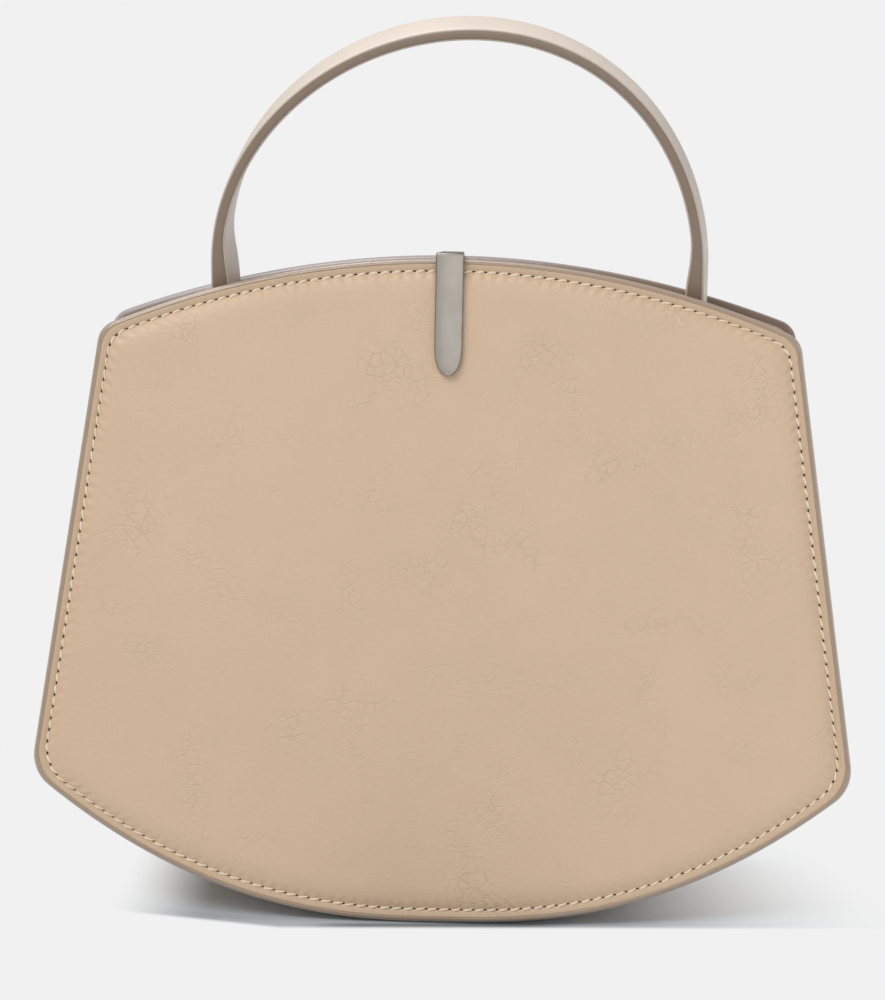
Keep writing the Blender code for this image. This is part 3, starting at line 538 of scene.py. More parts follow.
class Surface:
    """A node material under construction."""

    def __init__(self, name, roughness, metallic=0.0):
        self.material = bpy.data.materials.new(name)
        self.material.use_nodes = True
        self.tree = self.material.node_tree
        self.shader = self.tree.nodes["Principled BSDF"]
        fill(self.shader, Roughness=roughness, Metallic=metallic)
        self.place = self.add("ShaderNodeTexCoord").outputs["Object"]
        self.bumped = None

    def add(self, kind, **settings):
        node = self.tree.nodes.new(kind)
        for key, value in settings.items():
            setattr(node, key, value)
        return node

    def link(self, source, target):
        self.tree.links.new(source, target)

    def stretched(self, scale):
        node = self.add("ShaderNodeMapping")
        fill(node, Scale=scale)
        self.link(self.place, node.inputs["Vector"])
        return node.outputs["Vector"]

    def noise(self, scale, detail=2.0, roughness=0.5, place=None, output="Fac"):
        node = self.add("ShaderNodeTexNoise")
        fill(node, Scale=scale, Detail=detail, Roughness=roughness)
        self.link(place or self.place, node.inputs["Vector"])
        return node.outputs[output]

    def cells(self, scale, feature="F1", place=None):
        node = self.add("ShaderNodeTexVoronoi", feature=feature)
        fill(node, Scale=scale)
        self.link(place or self.place, node.inputs["Vector"])
        return node.outputs["Distance"]

    def warped(self, amount, scale):
        """The place moved about by noise, so that cells lose their straight sides."""
        shift = self.noise(scale, output="Color")
        moved = self.add("ShaderNodeVectorMath", operation="MULTIPLY_ADD")
        for source, target in zip((shift, (amount, amount, amount), self.place), moved.inputs):
            feed(self.tree, source, target)
        return moved.outputs["Vector"]

    def spread(self, value, low, high, to_low=0.0, to_high=1.0, kind="LINEAR"):
        node = self.add("ShaderNodeMapRange", interpolation_type=kind)
        for key, number in zip((1, 2, 3, 4), (low, high, to_low, to_high)):
            node.inputs[key].default_value = number
        self.link(value, node.inputs[0])
        return node.outputs[0]

    def rising(self, value, fade):
        return self.spread(value, *fade, 0.0, 1.0, "SMOOTHSTEP")

    def falling(self, value, fade):
        return self.spread(value, *fade, 1.0, 0.0, "SMOOTHSTEP")

    def times(self, a, b):
        return worked(self.tree, "MULTIPLY", a, b)

    def less(self, a, b):
        return worked(self.tree, "SUBTRACT", a, b)

    def mix(self, share, first, second):
        node = self.add("ShaderNodeMix", data_type="RGBA")
        for source, number in ((share, 0), (first, 6), (second, 7)):
            feed(self.tree, source, node.inputs[number])
        return node.outputs[2]

    def share(self, name):
        return self.add("ShaderNodeAttribute", attribute_name=name).outputs["Fac"]

    def colour(self, source):
        self.link(source, self.shader.inputs["Base Color"])

    def rough(self, source, low, high):
        """Roughness between two values, by a pattern."""
        self.link(self.spread(source, 0.3, 0.7, low, high), self.shader.inputs["Roughness"])

    def uneven(self, low, high, *pattern):
        self.rough(self.noise(*pattern), low, high)

    def bump(self, height, distance, strength=1.0):
        node = self.add("ShaderNodeBump")
        fill(node, Strength=strength, Distance=distance)
        self.link(height, node.inputs["Height"])
        if self.bumped:
            self.link(self.bumped, node.inputs["Normal"])
        self.bumped = node.outputs["Normal"]
        self.link(self.bumped, self.shader.inputs["Normal"])


def leather(name, base, margin, roughness, grain=1.0):
    """Fine smooth leather: clouding, pores, hair creases and a slightly uneven gloss."""
    s = Surface(name, roughness)
    deep = shade(base, 0.96)
    clouds = s.spread(s.noise(26.0, 4.0, 0.6), 0.2, 0.8)
    body = s.mix(clouds, deep, shade(base, 1.02))
    flecks = s.spread(s.noise(700.0, 3.0, 0.6), 0.42, 0.7, 0.0, 0.30)
    body = s.mix(flecks, body, deep)
    creases = s.cells(330.0, "DISTANCE_TO_EDGE", s.warped(0.0022, 240.0))
    crease = s.falling(creases, (0.0, 0.10))
    crease = s.times(crease, s.spread(s.noise(60.0, 3.0), 0.5, 0.68))
    body = s.mix(s.times(crease, 0.12), body, deep)
    s.colour(s.mix(s.share("margin"), body, margin))
    s.uneven(roughness - 0.05, roughness + 0.07, 90.0, 4.0, 0.6)
    s.bump(s.noise(110.0, 3.0, 0.5), 0.00030 * grain, 0.5)
    s.bump(s.times(crease, -1.0), 0.00014 * grain, 0.7)
    s.bump(s.cells(1300.0, "SMOOTH_F1", s.warped(0.0003, 900.0)), 0.00011 * grain, 0.75)
    s.bump(s.noise(2600.0, 3.0, 0.6), 0.00005 * grain, 0.5)
    return s.material


def edge_paint(name, base, rim, roughness, **shine):
    """Thick paint on cut edges: nearly smooth, with sanding waves and a darker rim colour, which on
    the back panel's edge also paints shade.
    """
    s = Surface(name, roughness)
    fill(s.shader, **shine)
    body = s.mix(s.spread(s.noise(55.0, 3.0), 0.2, 0.8), shade(base, 0.95), base)
    s.colour(s.mix(s.share("rim"), body, rim))
    s.uneven(roughness - 0.05, roughness + 0.08, 160.0, 3.0)
    s.bump(s.noise(150.0, 2.0), 0.00022, 0.5)
    s.bump(s.noise(1500.0, 2.0), 0.00003, 0.5)
    return s.material


def suede(name, base):
    s = Surface(name, 0.9)
    nap = s.spread(s.noise(300.0, 5.0, 0.7), 0.3, 0.7)
    s.colour(s.mix(nap, shade(base, 0.85), base))
    fill(s.shader, Sheen_Weight=0.25, Sheen_Roughness=0.5)
    s.uneven(0.82, 0.95, 400.0, 3.0)
    s.bump(s.noise(2400.0, 4.0, 0.7), 0.00012, 0.7)
    return s.material


def satin_metal(name, base, roughness, brushed):
    """Metal with fine brushing one way and faint handling marks."""
    s = Surface(name, roughness, 1.0)
    lines = s.noise(1.0, 3.0, 0.6, s.stretched(brushed))
    s.colour(s.mix(lines, shade(base, 0.93), base))
    s.uneven(roughness - 0.04, roughness + 0.06, 120.0, 4.0, 0.6)
    s.bump(lines, 0.00002, 0.5)
    return s.material


def fibre_board(name):
    s = Surface(name, 0.85)
    fibres = s.noise(1.0, 5.0, 0.7, s.stretched((260.0, 1400.0, 700.0)))
    s.colour(s.mix(s.spread(fibres, 0.3, 0.7), tone(118, 88, 60), tone(160, 130, 98)))
    s.rough(fibres, 0.78, 0.92)
    s.bump(fibres, 0.00010, 0.6)
    return s.material


def thread(name, base, deep):
    """Twisted waxed thread."""
    s = Surface(name, 0.55)
    ply = s.add("ShaderNodeTexWave", wave_type="BANDS", bands_direction="DIAGONAL")
    fill(ply, Scale=900.0)
    s.link(s.place, ply.inputs["Vector"])
    s.colour(s.mix(s.times(ply.outputs["Fac"], s.noise(900.0)), base, deep))
    s.uneven(0.48, 0.64, 900.0)
    s.bump(ply.outputs["Fac"], 0.00006, 0.5)
    return s.material


panel_leather = leather("panel_leather_skin", tone(210, 181, 151), tone(198, 171, 141), 0.46)
gusset_leather = leather("gusset_leather_skin", tone(205, 180, 154), tone(190, 164, 138), 0.5)
strap_leather = leather("strap_leather_skin", tone(222, 208, 195), tone(156, 137, 121), 0.42, 0.7)
front_tones = tone(174, 155, 140), tone(160, 136, 114)
front_paint = edge_paint(
    "front_edge_paint", *front_tones, 0.28, Coat_Weight=0.5, Coat_Roughness=0.14
)
# The back edge's darker rim colour also paints the shade on its inner half, facing the mouth
back_paint = edge_paint("back_edge_paint", tone(176, 166, 165), tone(122, 104, 90), 0.26)
strap_paint = edge_paint("strap_edge_paint", tone(138, 119, 102), tone(112, 94, 79), 0.34)
lining_suede = suede("lining_suede", tone(190, 165, 145))
tab_metal = satin_metal("satin_tab", tone(151, 145, 138), 0.36, (1200.0, 60.0, 60.0))
hinge_metal = satin_metal("satin_hinge", tone(172, 166, 158), 0.34, (60.0, 900.0, 900.0))
magnet_metal = satin_metal("dark_magnet", tone(140, 140, 142), 0.3, (500.0, 500.0, 500.0))
board = fibre_board("fibre_board_sheet")
thread_cream = thread("cream_thread", tone(238, 220, 196), tone(214, 190, 160))
# Dark brown of the needle holes: their mouths, partly painted shade
brown = tone(66, 42, 22)
hole_dark = edge_paint("stitch_hole_brown", brown, brown, 0.9, Specular_IOR_Level=0.1)


# Padded panels

FINE = STITCHES * STEPS_PER_STITCH


def bulge(place, middle, width):
    return np.exp(-(((place - middle) / width) ** 2))


def pad_levels(spots, depth, run, side):
    """Height of the outer leather above the panel's middle, puffed inside the stitch line."""
    phase = run / RUN[-1] * STITCHES * math.tau
    t = np.clip((depth - STITCH_INSET) / PUFF_RUN, 0.0, 1.0)
    level = OUTER_FACE + PUFF * (1.0 - (1.0 - t) ** PUFF_POWER)
    margin = np.clip((depth - EDGE_WIDTH) / (STITCH_INSET - EDGE_WIDTH), 0.0, 1.0)
    level += MARGIN_SWELL * np.sin(margin * math.pi) + MARGIN_RISE * (1.0 - margin)
    at_hole = 0.5 + 0.5 * np.cos(phase)
    level -= GROOVE * bulge(depth - STITCH_INSET, 0.0, GROOVE_WIDTH) * (0.55 + 0.45 * at_hole)
    wander = np.array([noise.noise(Vector((r * 90.0, side * 5.0, 0.0))) for r in run])
    strength = PUCKER * (0.75 + 0.6 * wander)
    beyond = depth - STITCH_INSET
    level -= strength * at_hole * bulge(beyond, DIMPLE_PLACE, DIMPLE_PLACE)
    level += strength * (1.0 - at_hole) * bulge(beyond, PLEAT_PLACE, PLEAT_PLACE)
    inside = np.clip((beyond - SOFT_START) / SOFT_RUN, 0.0, 1.0)
    soft = [
        noise.noise(Vector((u * 30.0, v * 30.0, side * 7.0))) * WAVE
        + noise.noise(Vector((u * 95.0, v * 60.0, side * 3.0))) * RIPPLE - SINK
        for u, v in spots
    ]
    return level + np.array(soft) * inside


def padded_panel(name, side):
    """One panel's outer leather with its padding, as one closed puffed form."""
    insets = MARGIN_INSETS + tuple(STITCH_INSET + d for d in SEAM_STEPS) + (SHOULDER_INSET,)
    places = [(FINE, inset, 0.0) for inset in insets]
    places += [(FINE // 2, SHOULDER_INSET, share) for share in SHOULDER_SHARES]
    first, last = MIDDLE_SHARES
    for i in range(MIDDLE_RINGS + 1):
        places.append((FINE // 4, SHOULDER_INSET, first + (last - first) * i / MIDDLE_RINGS))
    outer = []
    margins = []
    for index, (count, inset, share) in enumerate(places):
        spots, depth, run = ring(count, inset, share)
        levels = pad_levels(spots, depth, run, side)
        if index < 2:
            levels = levels - (RIM, RIM / 3)[index]
        outer.append([panel_point(side, u, v, w) for (u, v), w in zip(spots, levels)])
        margins.append(np.clip((STITCH_INSET + 0.0001 - depth) / 0.0006, 0.0, 1.0))
    below = [(FINE, MARGIN_INSETS[0], 0.0), (FINE // 2, UNDER_INSET, 0.0)]
    below += [(FINE // 4, SHOULDER_INSET, share) for share in UNDER_SHARES]
    inner = [lay(side, count, inset, LEATHER_LOW, share) for count, inset, share in below]
    ends = centre_point(side, PUFFED_FACE - 0.0001), centre_point(side, LEATHER_LOW)
    obj = piece(name, *rings_solid(outer[::-1] + inner, *ends), panel_leather)
    hidden = np.ones(sum(map(len, inner)) + 1)
    set_share(obj, "margin", np.concatenate([np.zeros(1), *margins[::-1], hidden]))
    return obj


def painted_edge(name, side, material):
    """The domed painted edge round the stack, in its darker rim colour where it laps the leather;
    on the back panel the inner half, facing the mouth, takes that colour too as painted shade, more
    so towards the right.
    """
    low = -INNER_FACE - GAP / 3
    high = low + MARGIN_RISE
    section = [(EDGE_WIDTH + GAP / 3, GAP / 2 - low, 1.0, 0.0)]
    steps = 20
    for i in range(steps + 1):
        angle = math.pi * (i / steps - 0.5)
        inset = EDGE_WIDTH * (1.0 - abs(math.cos(angle)) ** 0.85)
        reach = high if angle > 0.0 else low
        level = reach * math.copysign(abs(math.sin(angle)) ** 0.92, math.sin(angle))
        # Painted shade: on the back panel the dome's inner half, facing the mouth, takes the darker
        # rim colour
        inner_half_shade = min(max(-math.sin(angle) * 2.2 + 0.3, 0.0), 1.0)
        section.append((inset, level, abs(math.sin(angle)) ** 6, inner_half_shade if side > 0 else 0.0))
    section.append((EDGE_WIDTH + GAP / 3, high - GAP / 2, 1.0, 0.0))
    count = FINE // 2
    columns = [lay(side, count, inset, level) for inset, level, _, _ in section]
    sections = [[column[i] for column in columns] for i in range(count)]
    # The painted shade is faint at the left and full at the right
    painted_shade_spread = np.clip(0.5 + ring(count, 0.0)[0][:, 0] / PAINTED_SHADE_RUN, 0.12, 1.0)
    obj = piece(name, *loft(sections, closed=True), material)
    set_share(obj, "rim", [max(row[2], row[3] * painted_shade_spread[i]) for i in range(count) for row in section])
    return obj


def panel_lining(name, side):
    """The lining inside a panel, a thin sheet with a rounded rim."""
    count = FINE // 4
    rows = [(EDGE_WIDTH, 0.0, LINING_TOP - 0.0002), (EDGE_WIDTH, 0.0, INNER_FACE + 0.0002)]
    rows += [(EDGE_WIDTH + 0.0002, 0.0, INNER_FACE)]
    rows += [(SHOULDER_INSET, share, INNER_FACE) for share in LINING_SHARES]
    rings = [lay(side, count, inset, level, share) for inset, share, level in reversed(rows)]
    rings += [lay(side, count, SHOULDER_INSET, LINING_TOP, share) for share in BACKING_SHARES]
    ends = centre_point(side, INNER_FACE), centre_point(side, LINING_TOP)
    return piece(name, *rings_solid(rings, *ends), lining_suede)


def stitch_row(name, side):
    """A row of slanted stitches, each an arch of thread that dives in at its ends."""
    sides = 8
    stations = 7
    pitch = RUN[-1] / STITCHES
    rows = []
    solids = []
    for k in range(stations):
        share = k / (stations - 1)
        along = (STITCH_START + STITCH_LENGTH * share) * pitch
        slide = THREAD_SLANT * (2.0 * share - 1.0) * (1 if side < 0 else -1)
        slide -= THREAD_BOW * math.sin(share * math.pi)
        level = OUTER_FACE + THREAD_RISE * math.sin(share * math.pi) - THREAD_SINK
        centre = lay(side, STITCHES, STITCH_INSET + THREAD_SINK + slide, level, 0.0, along)
        inner = lay(side, STITCHES, STITCH_INSET + THREAD_ASIDE + slide, level, 0.0, along)
        radius = THREAD_RADIUS * (0.55 + 0.45 * math.sin(share * math.pi) ** 0.5)
        rows.append((centre, inner, radius))
    for i in range(STITCHES):
        sections = []
        for centre, inner, radius in rows:
            across = (inner[i] - centre[i]).normalized()
            along = (rows[-1][0][i] - rows[0][0][i]).normalized()
            outwards = along.cross(across).normalized()
            sections.append(circle(centre[i], across, outwards, radius, sides))
        solids.append(sections)
    return piece(name, *joined(solids), thread_cream)


def stitch_holes(name, side):
    """The dark mouths of the needle holes, one at the end of each stitch, partly painted shade:
    they are dark and lifted up the panel to where each hole's shade falls.
    """
    sides = 10
    pitch = RUN[-1] / STITCHES
    rows = []
    solids = []
    for deeper, ahead in ((0.0, 0.0), (0.0, pitch / 6), (0.0005, 0.0)):
        spots = ring(STITCHES, STITCH_INSET + deeper, 0.0, ahead)[0] + np.array((0.0, HOLE_LIFT))
        rows.append([panel_point(side, u, v, OUTER_FACE - HOLE_SINK) for u, v in spots])
    for centre, nearby, deeper in zip(*rows):
        along = (nearby - centre).normalized()
        across = (deeper - centre).normalized()
        outwards = along.cross(across).normalized()
        if outwards.y * side < 0:
            outwards = -outwards
        sections = []
        for lift, size in ((-0.00025, 0.5), (0.0, 1.0), (0.00012, 0.95), (0.00020, 0.6)):
            middle = centre + outwards * lift
            sections.append(circle(middle, along * 1.25, across * 0.85, HOLE_RADIUS * size, sides))
        solids.append(sections)
    return piece(name, *joined(solids), hole_dark)


for side, name, body, paint in (
    (-1, "front", "front_panel", front_paint),
    (1, "back", "bag", back_paint),
):
    pad = padded_panel(name + "_padded_panel", side)
    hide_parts(name + "_leather", name + "_padding")
    rim = painted_edge(name + "_painted_edge", side, paint)
    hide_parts(name + "_edge")
    cloth = panel_lining(name + "_suede_lining", side)
    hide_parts(name + "_lining")
    seam = stitch_row(name + "_stitches", side)
    holes = stitch_holes(name + "_stitch_holes", side)
    for obj in (pad, rim, cloth, seam, holes):
        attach(obj, body)


# Base and side gussets

def span(u, z):
    """The middle between the panels' inner faces, and half the room there."""
    front = panel_at_height(-1, u, z, INNER_FACE - GAP).y
    back = panel_at_height(1, u, z, INNER_FACE - GAP).y
    return (front + back) / 2, (back - front) / 2


def base_piece(name, near, far, material, reach):
    """A sheet of the base that follows the lower outline, as far round as an index."""
    sections = []
    count = len(OUTLINE)
    for i in range(-reach, reach + 1, 2):
        away = abs(OUTLINE[i % count].x)
        share = max(away - BASE_FLAT_HALF_WIDTH, 0.0) / BASE_RUN
        section = []
        for depth, direction in ((near, 1), (far, -1)):
            for k in range(BASE_COLUMNS + 1):
                place = direction * (2.0 * k / BASE_COLUMNS - 1.0)
                sag = 0.4 * (1.0 - place * place)
                low = inset_points(depth)[i % count]
                high = inset_points(depth + GUSSET_RECESS)[i % count]
                u, z = low + (high - low) * (share * (1.0 + sag))
                z *= math.cos(PANEL_LEAN)
                middle, half = span(u, z)
                section.append(Vector((u, middle + half * place, z)))
        sections.append(section)
    return piece(name, *loft(sections), material, sharp=50)


def gusset_grid(hand, inset):
    """Points of a side wall that folds inwards along its middle, more so towards the mouth."""
    low = inset_points(GUSSET_RECESS + LEATHER)[SIDE_START][1] + GAP
    high = OUTLINE[SIDE_END].y - GUSSET_TOP_DROP
    grid = []
    for step in range(GUSSET_ROWS + 1):
        share = step / GUSSET_ROWS
        v = low + (high - low) * share
        z = LIFT + v * math.cos(PANEL_LEAN)
        edge = side_line(v) - GUSSET_RECESS
        fold = FOLD_DEPTH * share
        spread = math.hypot(1.0, fold / span(edge, z)[1])
        row = []
        for k in range(GUSSET_COLUMNS + 1):
            place = 2.0 * k / GUSSET_COLUMNS - 1.0
            soft = math.sqrt(place * place + FOLD_SOFT)
            soft = min(soft * (1.0 - FOLD_DRAW * (1.0 - abs(place))), 1.0)
            u = edge - fold * (1.0 - soft**FOLD_POWER) - inset * spread
            middle, half = span(u, z)
            row.append(Vector((hand * u, middle + half * place, z)))
        grid.append(row)
    return grid


def gusset_piece(name, hand, near, far, material):
    walls = zip(gusset_grid(hand, near), gusset_grid(hand, far))
    return piece(name, *loft([outer + inner[::-1] for outer, inner in walls]), material, sharp=50)


board_low = LEATHER + GAP
cloth_low = board_low + BOARD + GAP
wide = SIDE_START
for name, near, thick, material, reach, node, finish in (
    ("base_leather_sheet", 0.0, LEATHER, gusset_leather, wide, "base_leather", "panel_leather"),
    ("base_board_sheet", board_low, BOARD, board, BASE_STEPS, "base_board", "board"),
    ("base_suede_lining", cloth_low, LINING, lining_suede, wide, "base_lining", "lining"),
):
    obj = base_piece(name, near, near + thick, material, reach)
    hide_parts(node)
    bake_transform(obj)
for side, hand in (("left", -1), ("right", 1)):
    wall = gusset_piece("gusset_leather_" + side, hand, 0.0, GUSSET_LEATHER, gusset_leather)
    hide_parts("side_gusset_" + side)
    near = GUSSET_LEATHER + GAP
    cloth = gusset_piece("gusset_suede_" + side, hand, near, near + GUSSET_LINING, lining_suede)
    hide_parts("side_lining_" + side)
    for obj in (wall, cloth):
        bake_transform(obj)


# Handle

def strap_frame():
    """Where the strap's front edge stands, and its directions up and across."""
    v = top_curve(ARCH_HALF_SPAN) + HANDLE_SEAT_RISE
    nearest = ARCH_HALF_SPAN - abs(ARCH_OFFSET) - STRAP_FOOT
    tilt = math.asin(panel_slope(1, nearest, v))
    seat = panel_point(1, nearest, v, INNER_FACE - HANDLE_CLEARANCE)
    up = Vector((0.0, -math.sin(tilt), math.cos(tilt)))
    across = Vector((math.tan(HANDLE_TWIST), math.cos(tilt), math.sin(tilt))).normalized()
    front = panel_at_height(-1, nearest, seat.z, INNER_FACE)
    width = (seat.y - front.y - HANDLE_FRONT_CLEARANCE) / across.y
    foot = Vector((0.0, seat.y, seat.z)) - Vector((0.0, across.y, across.z)) * width
    return foot, up, across, width


STRAP_SEAT, STRAP_UP, STRAP_ACROSS, STRAP_WIDTH = strap_frame()


def strap_thickness(h):
    leg = max(min(1.0 - h / ARCH_HEIGHT, 1.0), 0.0)
    even = STRAP_CROWN + (STRAP_LEG - STRAP_CROWN) * leg
    flare = min(max((FLARE_TOP - h) / FLARE_HEIGHT, 0.0), 1.0)
    return even + (STRAP_FOOT - STRAP_LEG) * flare * flare * (3.0 - 2.0 * flare)


def strap_stations():
    """Rows of (place on the outer face, direction inwards), from the left foot to the right one."""
    rows = []
    left, right = ARCH_OFFSET - ARCH_HALF_SPAN, ARCH_OFFSET + ARCH_HALF_SPAN
    for i in range(FOOT_STEPS):
        rows.append((left, -FOOT_LENGTH * (1.0 - i / FOOT_STEPS), 1.0, 0.0))
    for i in range(ARCH_STEPS + 1):
        angle = math.pi * (1.0 - i / ARCH_STEPS)
        h = ARCH_HEIGHT * math.sin(angle)
        u = ARCH_HALF_SPAN * math.cos(angle)
        lean = ARCH_SKEW * (h / ARCH_HEIGHT) ** 2
        run = ARCH_HALF_SPAN * math.sin(angle) - 2 * ARCH_SKEW * h / ARCH_HEIGHT * math.cos(angle)
        rise = -ARCH_HEIGHT * math.cos(angle)
        size = math.hypot(run, rise)
        rows.append((u + ARCH_OFFSET + lean, h, rise / size, -run / size))
    for i in range(1, FOOT_STEPS + 1):
        rows.append((right, -FOOT_LENGTH * i / FOOT_STEPS, -1.0, 0.0))
    return rows


def strap_sway(h):
    """How much less far sideways the strap's back edge goes at a height than at the foot."""
    return (math.sin(CROWN_TWIST) - STRAP_ACROSS.x) * min(max(h / ARCH_HEIGHT, 0.0), 1.0)


def strap_point(row, depth, across):
    u, h, in_u, in_h = row
    place = STRAP_SEAT + STRAP_UP * (ARCH_SPRING + h + in_h * depth)
    sideways = u + in_u * depth + strap_sway(h) * across
    return place + Vector((sideways, 0.0, 0.0)) + STRAP_ACROSS * across


def strap_solid(name, section, place, material, mark, most, sharp=None):
    """A solid along the strap: place gives a row's depth and across, and it ends in a share."""
    sections = []
    for row in strap_stations():
        thick = strap_thickness(row[1])
        sections.append([strap_point(row, *place(thick, *spot[:2])) for spot in section])
    obj = piece(name, *loft(sections), material, sharp)
    set_share(obj, mark, [most * spot[2] for _ in sections for spot in section])
    return obj


def strap_skin(name, inner):
    """A strap leather, rounded at its rims and crowned. Rows are (depth, across, rim share)."""
    section = SKIN_RIM.copy()
    steps = 12
    for i in range(steps + 1):
        share = i / steps
        across = SKIN_EDGE + (STRAP_WIDTH - 2 * SKIN_EDGE) * share
        section.append((-STRAP_SWELL * math.sin(share * math.pi), across, 0.0))
    section += [(depth, STRAP_WIDTH - across, rim) for depth, across, rim in reversed(SKIN_RIM)]
    section += [(STRAP_LEATHER, STRAP_WIDTH - 0.0004, 1.0), (STRAP_LEATHER, 0.0004, 1.0)]

    def place(thick, depth, across):
        return thick - depth if inner else depth, across

    return strap_solid(name, section, place, strap_leather, "margin", 0.55)


def strap_edge(name, back):
    """The painted edge between the strap's two leathers, a low dome."""
    steps = 10
    section = [(0.0, 0.0009, 0.0)]
    for i in range(steps + 1):
        share = i / steps
        dome = 1.0 - abs(2.0 * share - 1.0) ** 3
        section.append((share, 0.00035 - 0.00045 * dome, abs(2.0 * share - 1.0) ** 5))
    section.append((1.0, 0.0009, 0.0))

    def place(thick, share, across):
        depth = STRAP_RIM + (thick - 2 * STRAP_RIM) * share
        return depth, STRAP_WIDTH - across if back else across

    return strap_solid(name, section, place, strap_paint, "rim", 0.5, sharp=60)


for obj, node, finish in (
    (strap_skin("handle_outer_leather", False), "strap_outer", "strap_leather"),
    (strap_skin("handle_inner_leather", True), "strap_inner", "strap_leather"),
    (strap_edge("handle_front_edge", False), "strap_edge_front", "edge_paint"),
    (strap_edge("handle_back_edge", True), "strap_edge_back", "edge_paint"),
):
    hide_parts(node)
    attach(obj, "bag")


# Closing tab

def hinge_place():
    crown = panel_point(1, 0.0, PANEL_HEIGHT, 0.0)
    face = panel_point(1, 0.0, PANEL_HEIGHT - HINGE_DROP, PUFFED_FACE + GAP + PLATE_SHEET)
    return Vector((0.0, face.y + PLATE_CLEARANCE + KNUCKLE_RADIUS, crown.z - HINGE_DROP))


HINGE = hinge_place()


def tab_rows():
    """Rows of (inner point, outer point, width) from the tip, over both edges, to the hinge."""
    near = PUFFED_FACE + TAB_STANDOFF
    far = near + TAB_THICKNESS
    under = panel_point(-1, 0.0, PANEL_HEIGHT, EDGE_CREST).z + TAB_STANDOFF
    middle = near - TAB_BEND
    bend_v = (under - TAB_BEND - LIFT - middle * math.sin(PANEL_LEAN)) / math.cos(PANEL_LEAN)
    centre = panel_point(-1, 0.0, bend_v, middle)
    ridge = panel_point(1, 0.0, PANEL_HEIGHT, EDGE_CREST) + Vector((0.0, 0.0, TAB_REAR_STANDOFF))
    end = HINGE + Vector((0.0, 0.0, KNUCKLE_RADIUS + TAB_STANDOFF))
    first_fall = math.atan2(under - ridge.z, ridge.y - centre.y)
    last_fall = math.atan2(ridge.z - end.z, end.y - ridge.y)
    rows = []
    for i in range(TIP_STEPS + 1):
        share = (i / TIP_STEPS) ** TIP_EASE
        v = PANEL_HEIGHT - TAB_DROP + TAB_TIP_LENGTH * share
        width = max(TAB_WIDTH * (1.0 - (1.0 - share) ** 2) ** TIP_POWER, TAB_TIP_WIDTH * 0.8)
        rows.append((panel_point(-1, 0.0, v, near), panel_point(-1, 0.0, v, far), width))
    turn = math.pi / 2 + first_fall - PANEL_LEAN
    for i in range(TURN_STEPS + 1):
        angle = turn * i / TURN_STEPS
        outwards = Vector((0.0, -math.cos(PANEL_LEAN + angle), math.sin(PANEL_LEAN + angle)))
        square = math.cos(angle) ** TAB_SQUARE + math.cos(turn - angle) ** TAB_SQUARE
        outer = centre + outwards * ((TAB_BEND + TAB_THICKNESS) * square ** (-1.0 / TAB_SQUARE))
        rows.append((centre + outwards * TAB_BEND, outer, TAB_WIDTH))
    start, outer, _ = rows[-1]
    outwards = (outer - start).normalized()
    inner = start.lerp(ridge, 0.5)
    thick = (TAB_THICKNESS + TAB_REAR_THICKNESS) / 2
    rows.append((inner, inner + outwards * thick, (TAB_WIDTH + TAB_REAR_WIDTH) / 2))
    for share in (0.25, 0.5, 0.75):
        fall = first_fall + (last_fall - first_fall) * share
        outwards = Vector((0.0, math.sin(fall), math.cos(fall)))
        inner = ridge + Vector((0.0, math.cos(fall), -math.sin(fall))) * (TAB_BEND * (share - 0.5))
        rows.append((inner, inner + outwards * TAB_REAR_THICKNESS, TAB_REAR_WIDTH))
    for share, narrow in ((0.9, 0.0), (1.0, 0.0003)):
        inner = ridge.lerp(end, share)
        outer = inner + Vector((0.0, 0.0, TAB_REAR_THICKNESS))
        rows.append((inner, outer, TAB_REAR_WIDTH - narrow))
    return rows, end.z


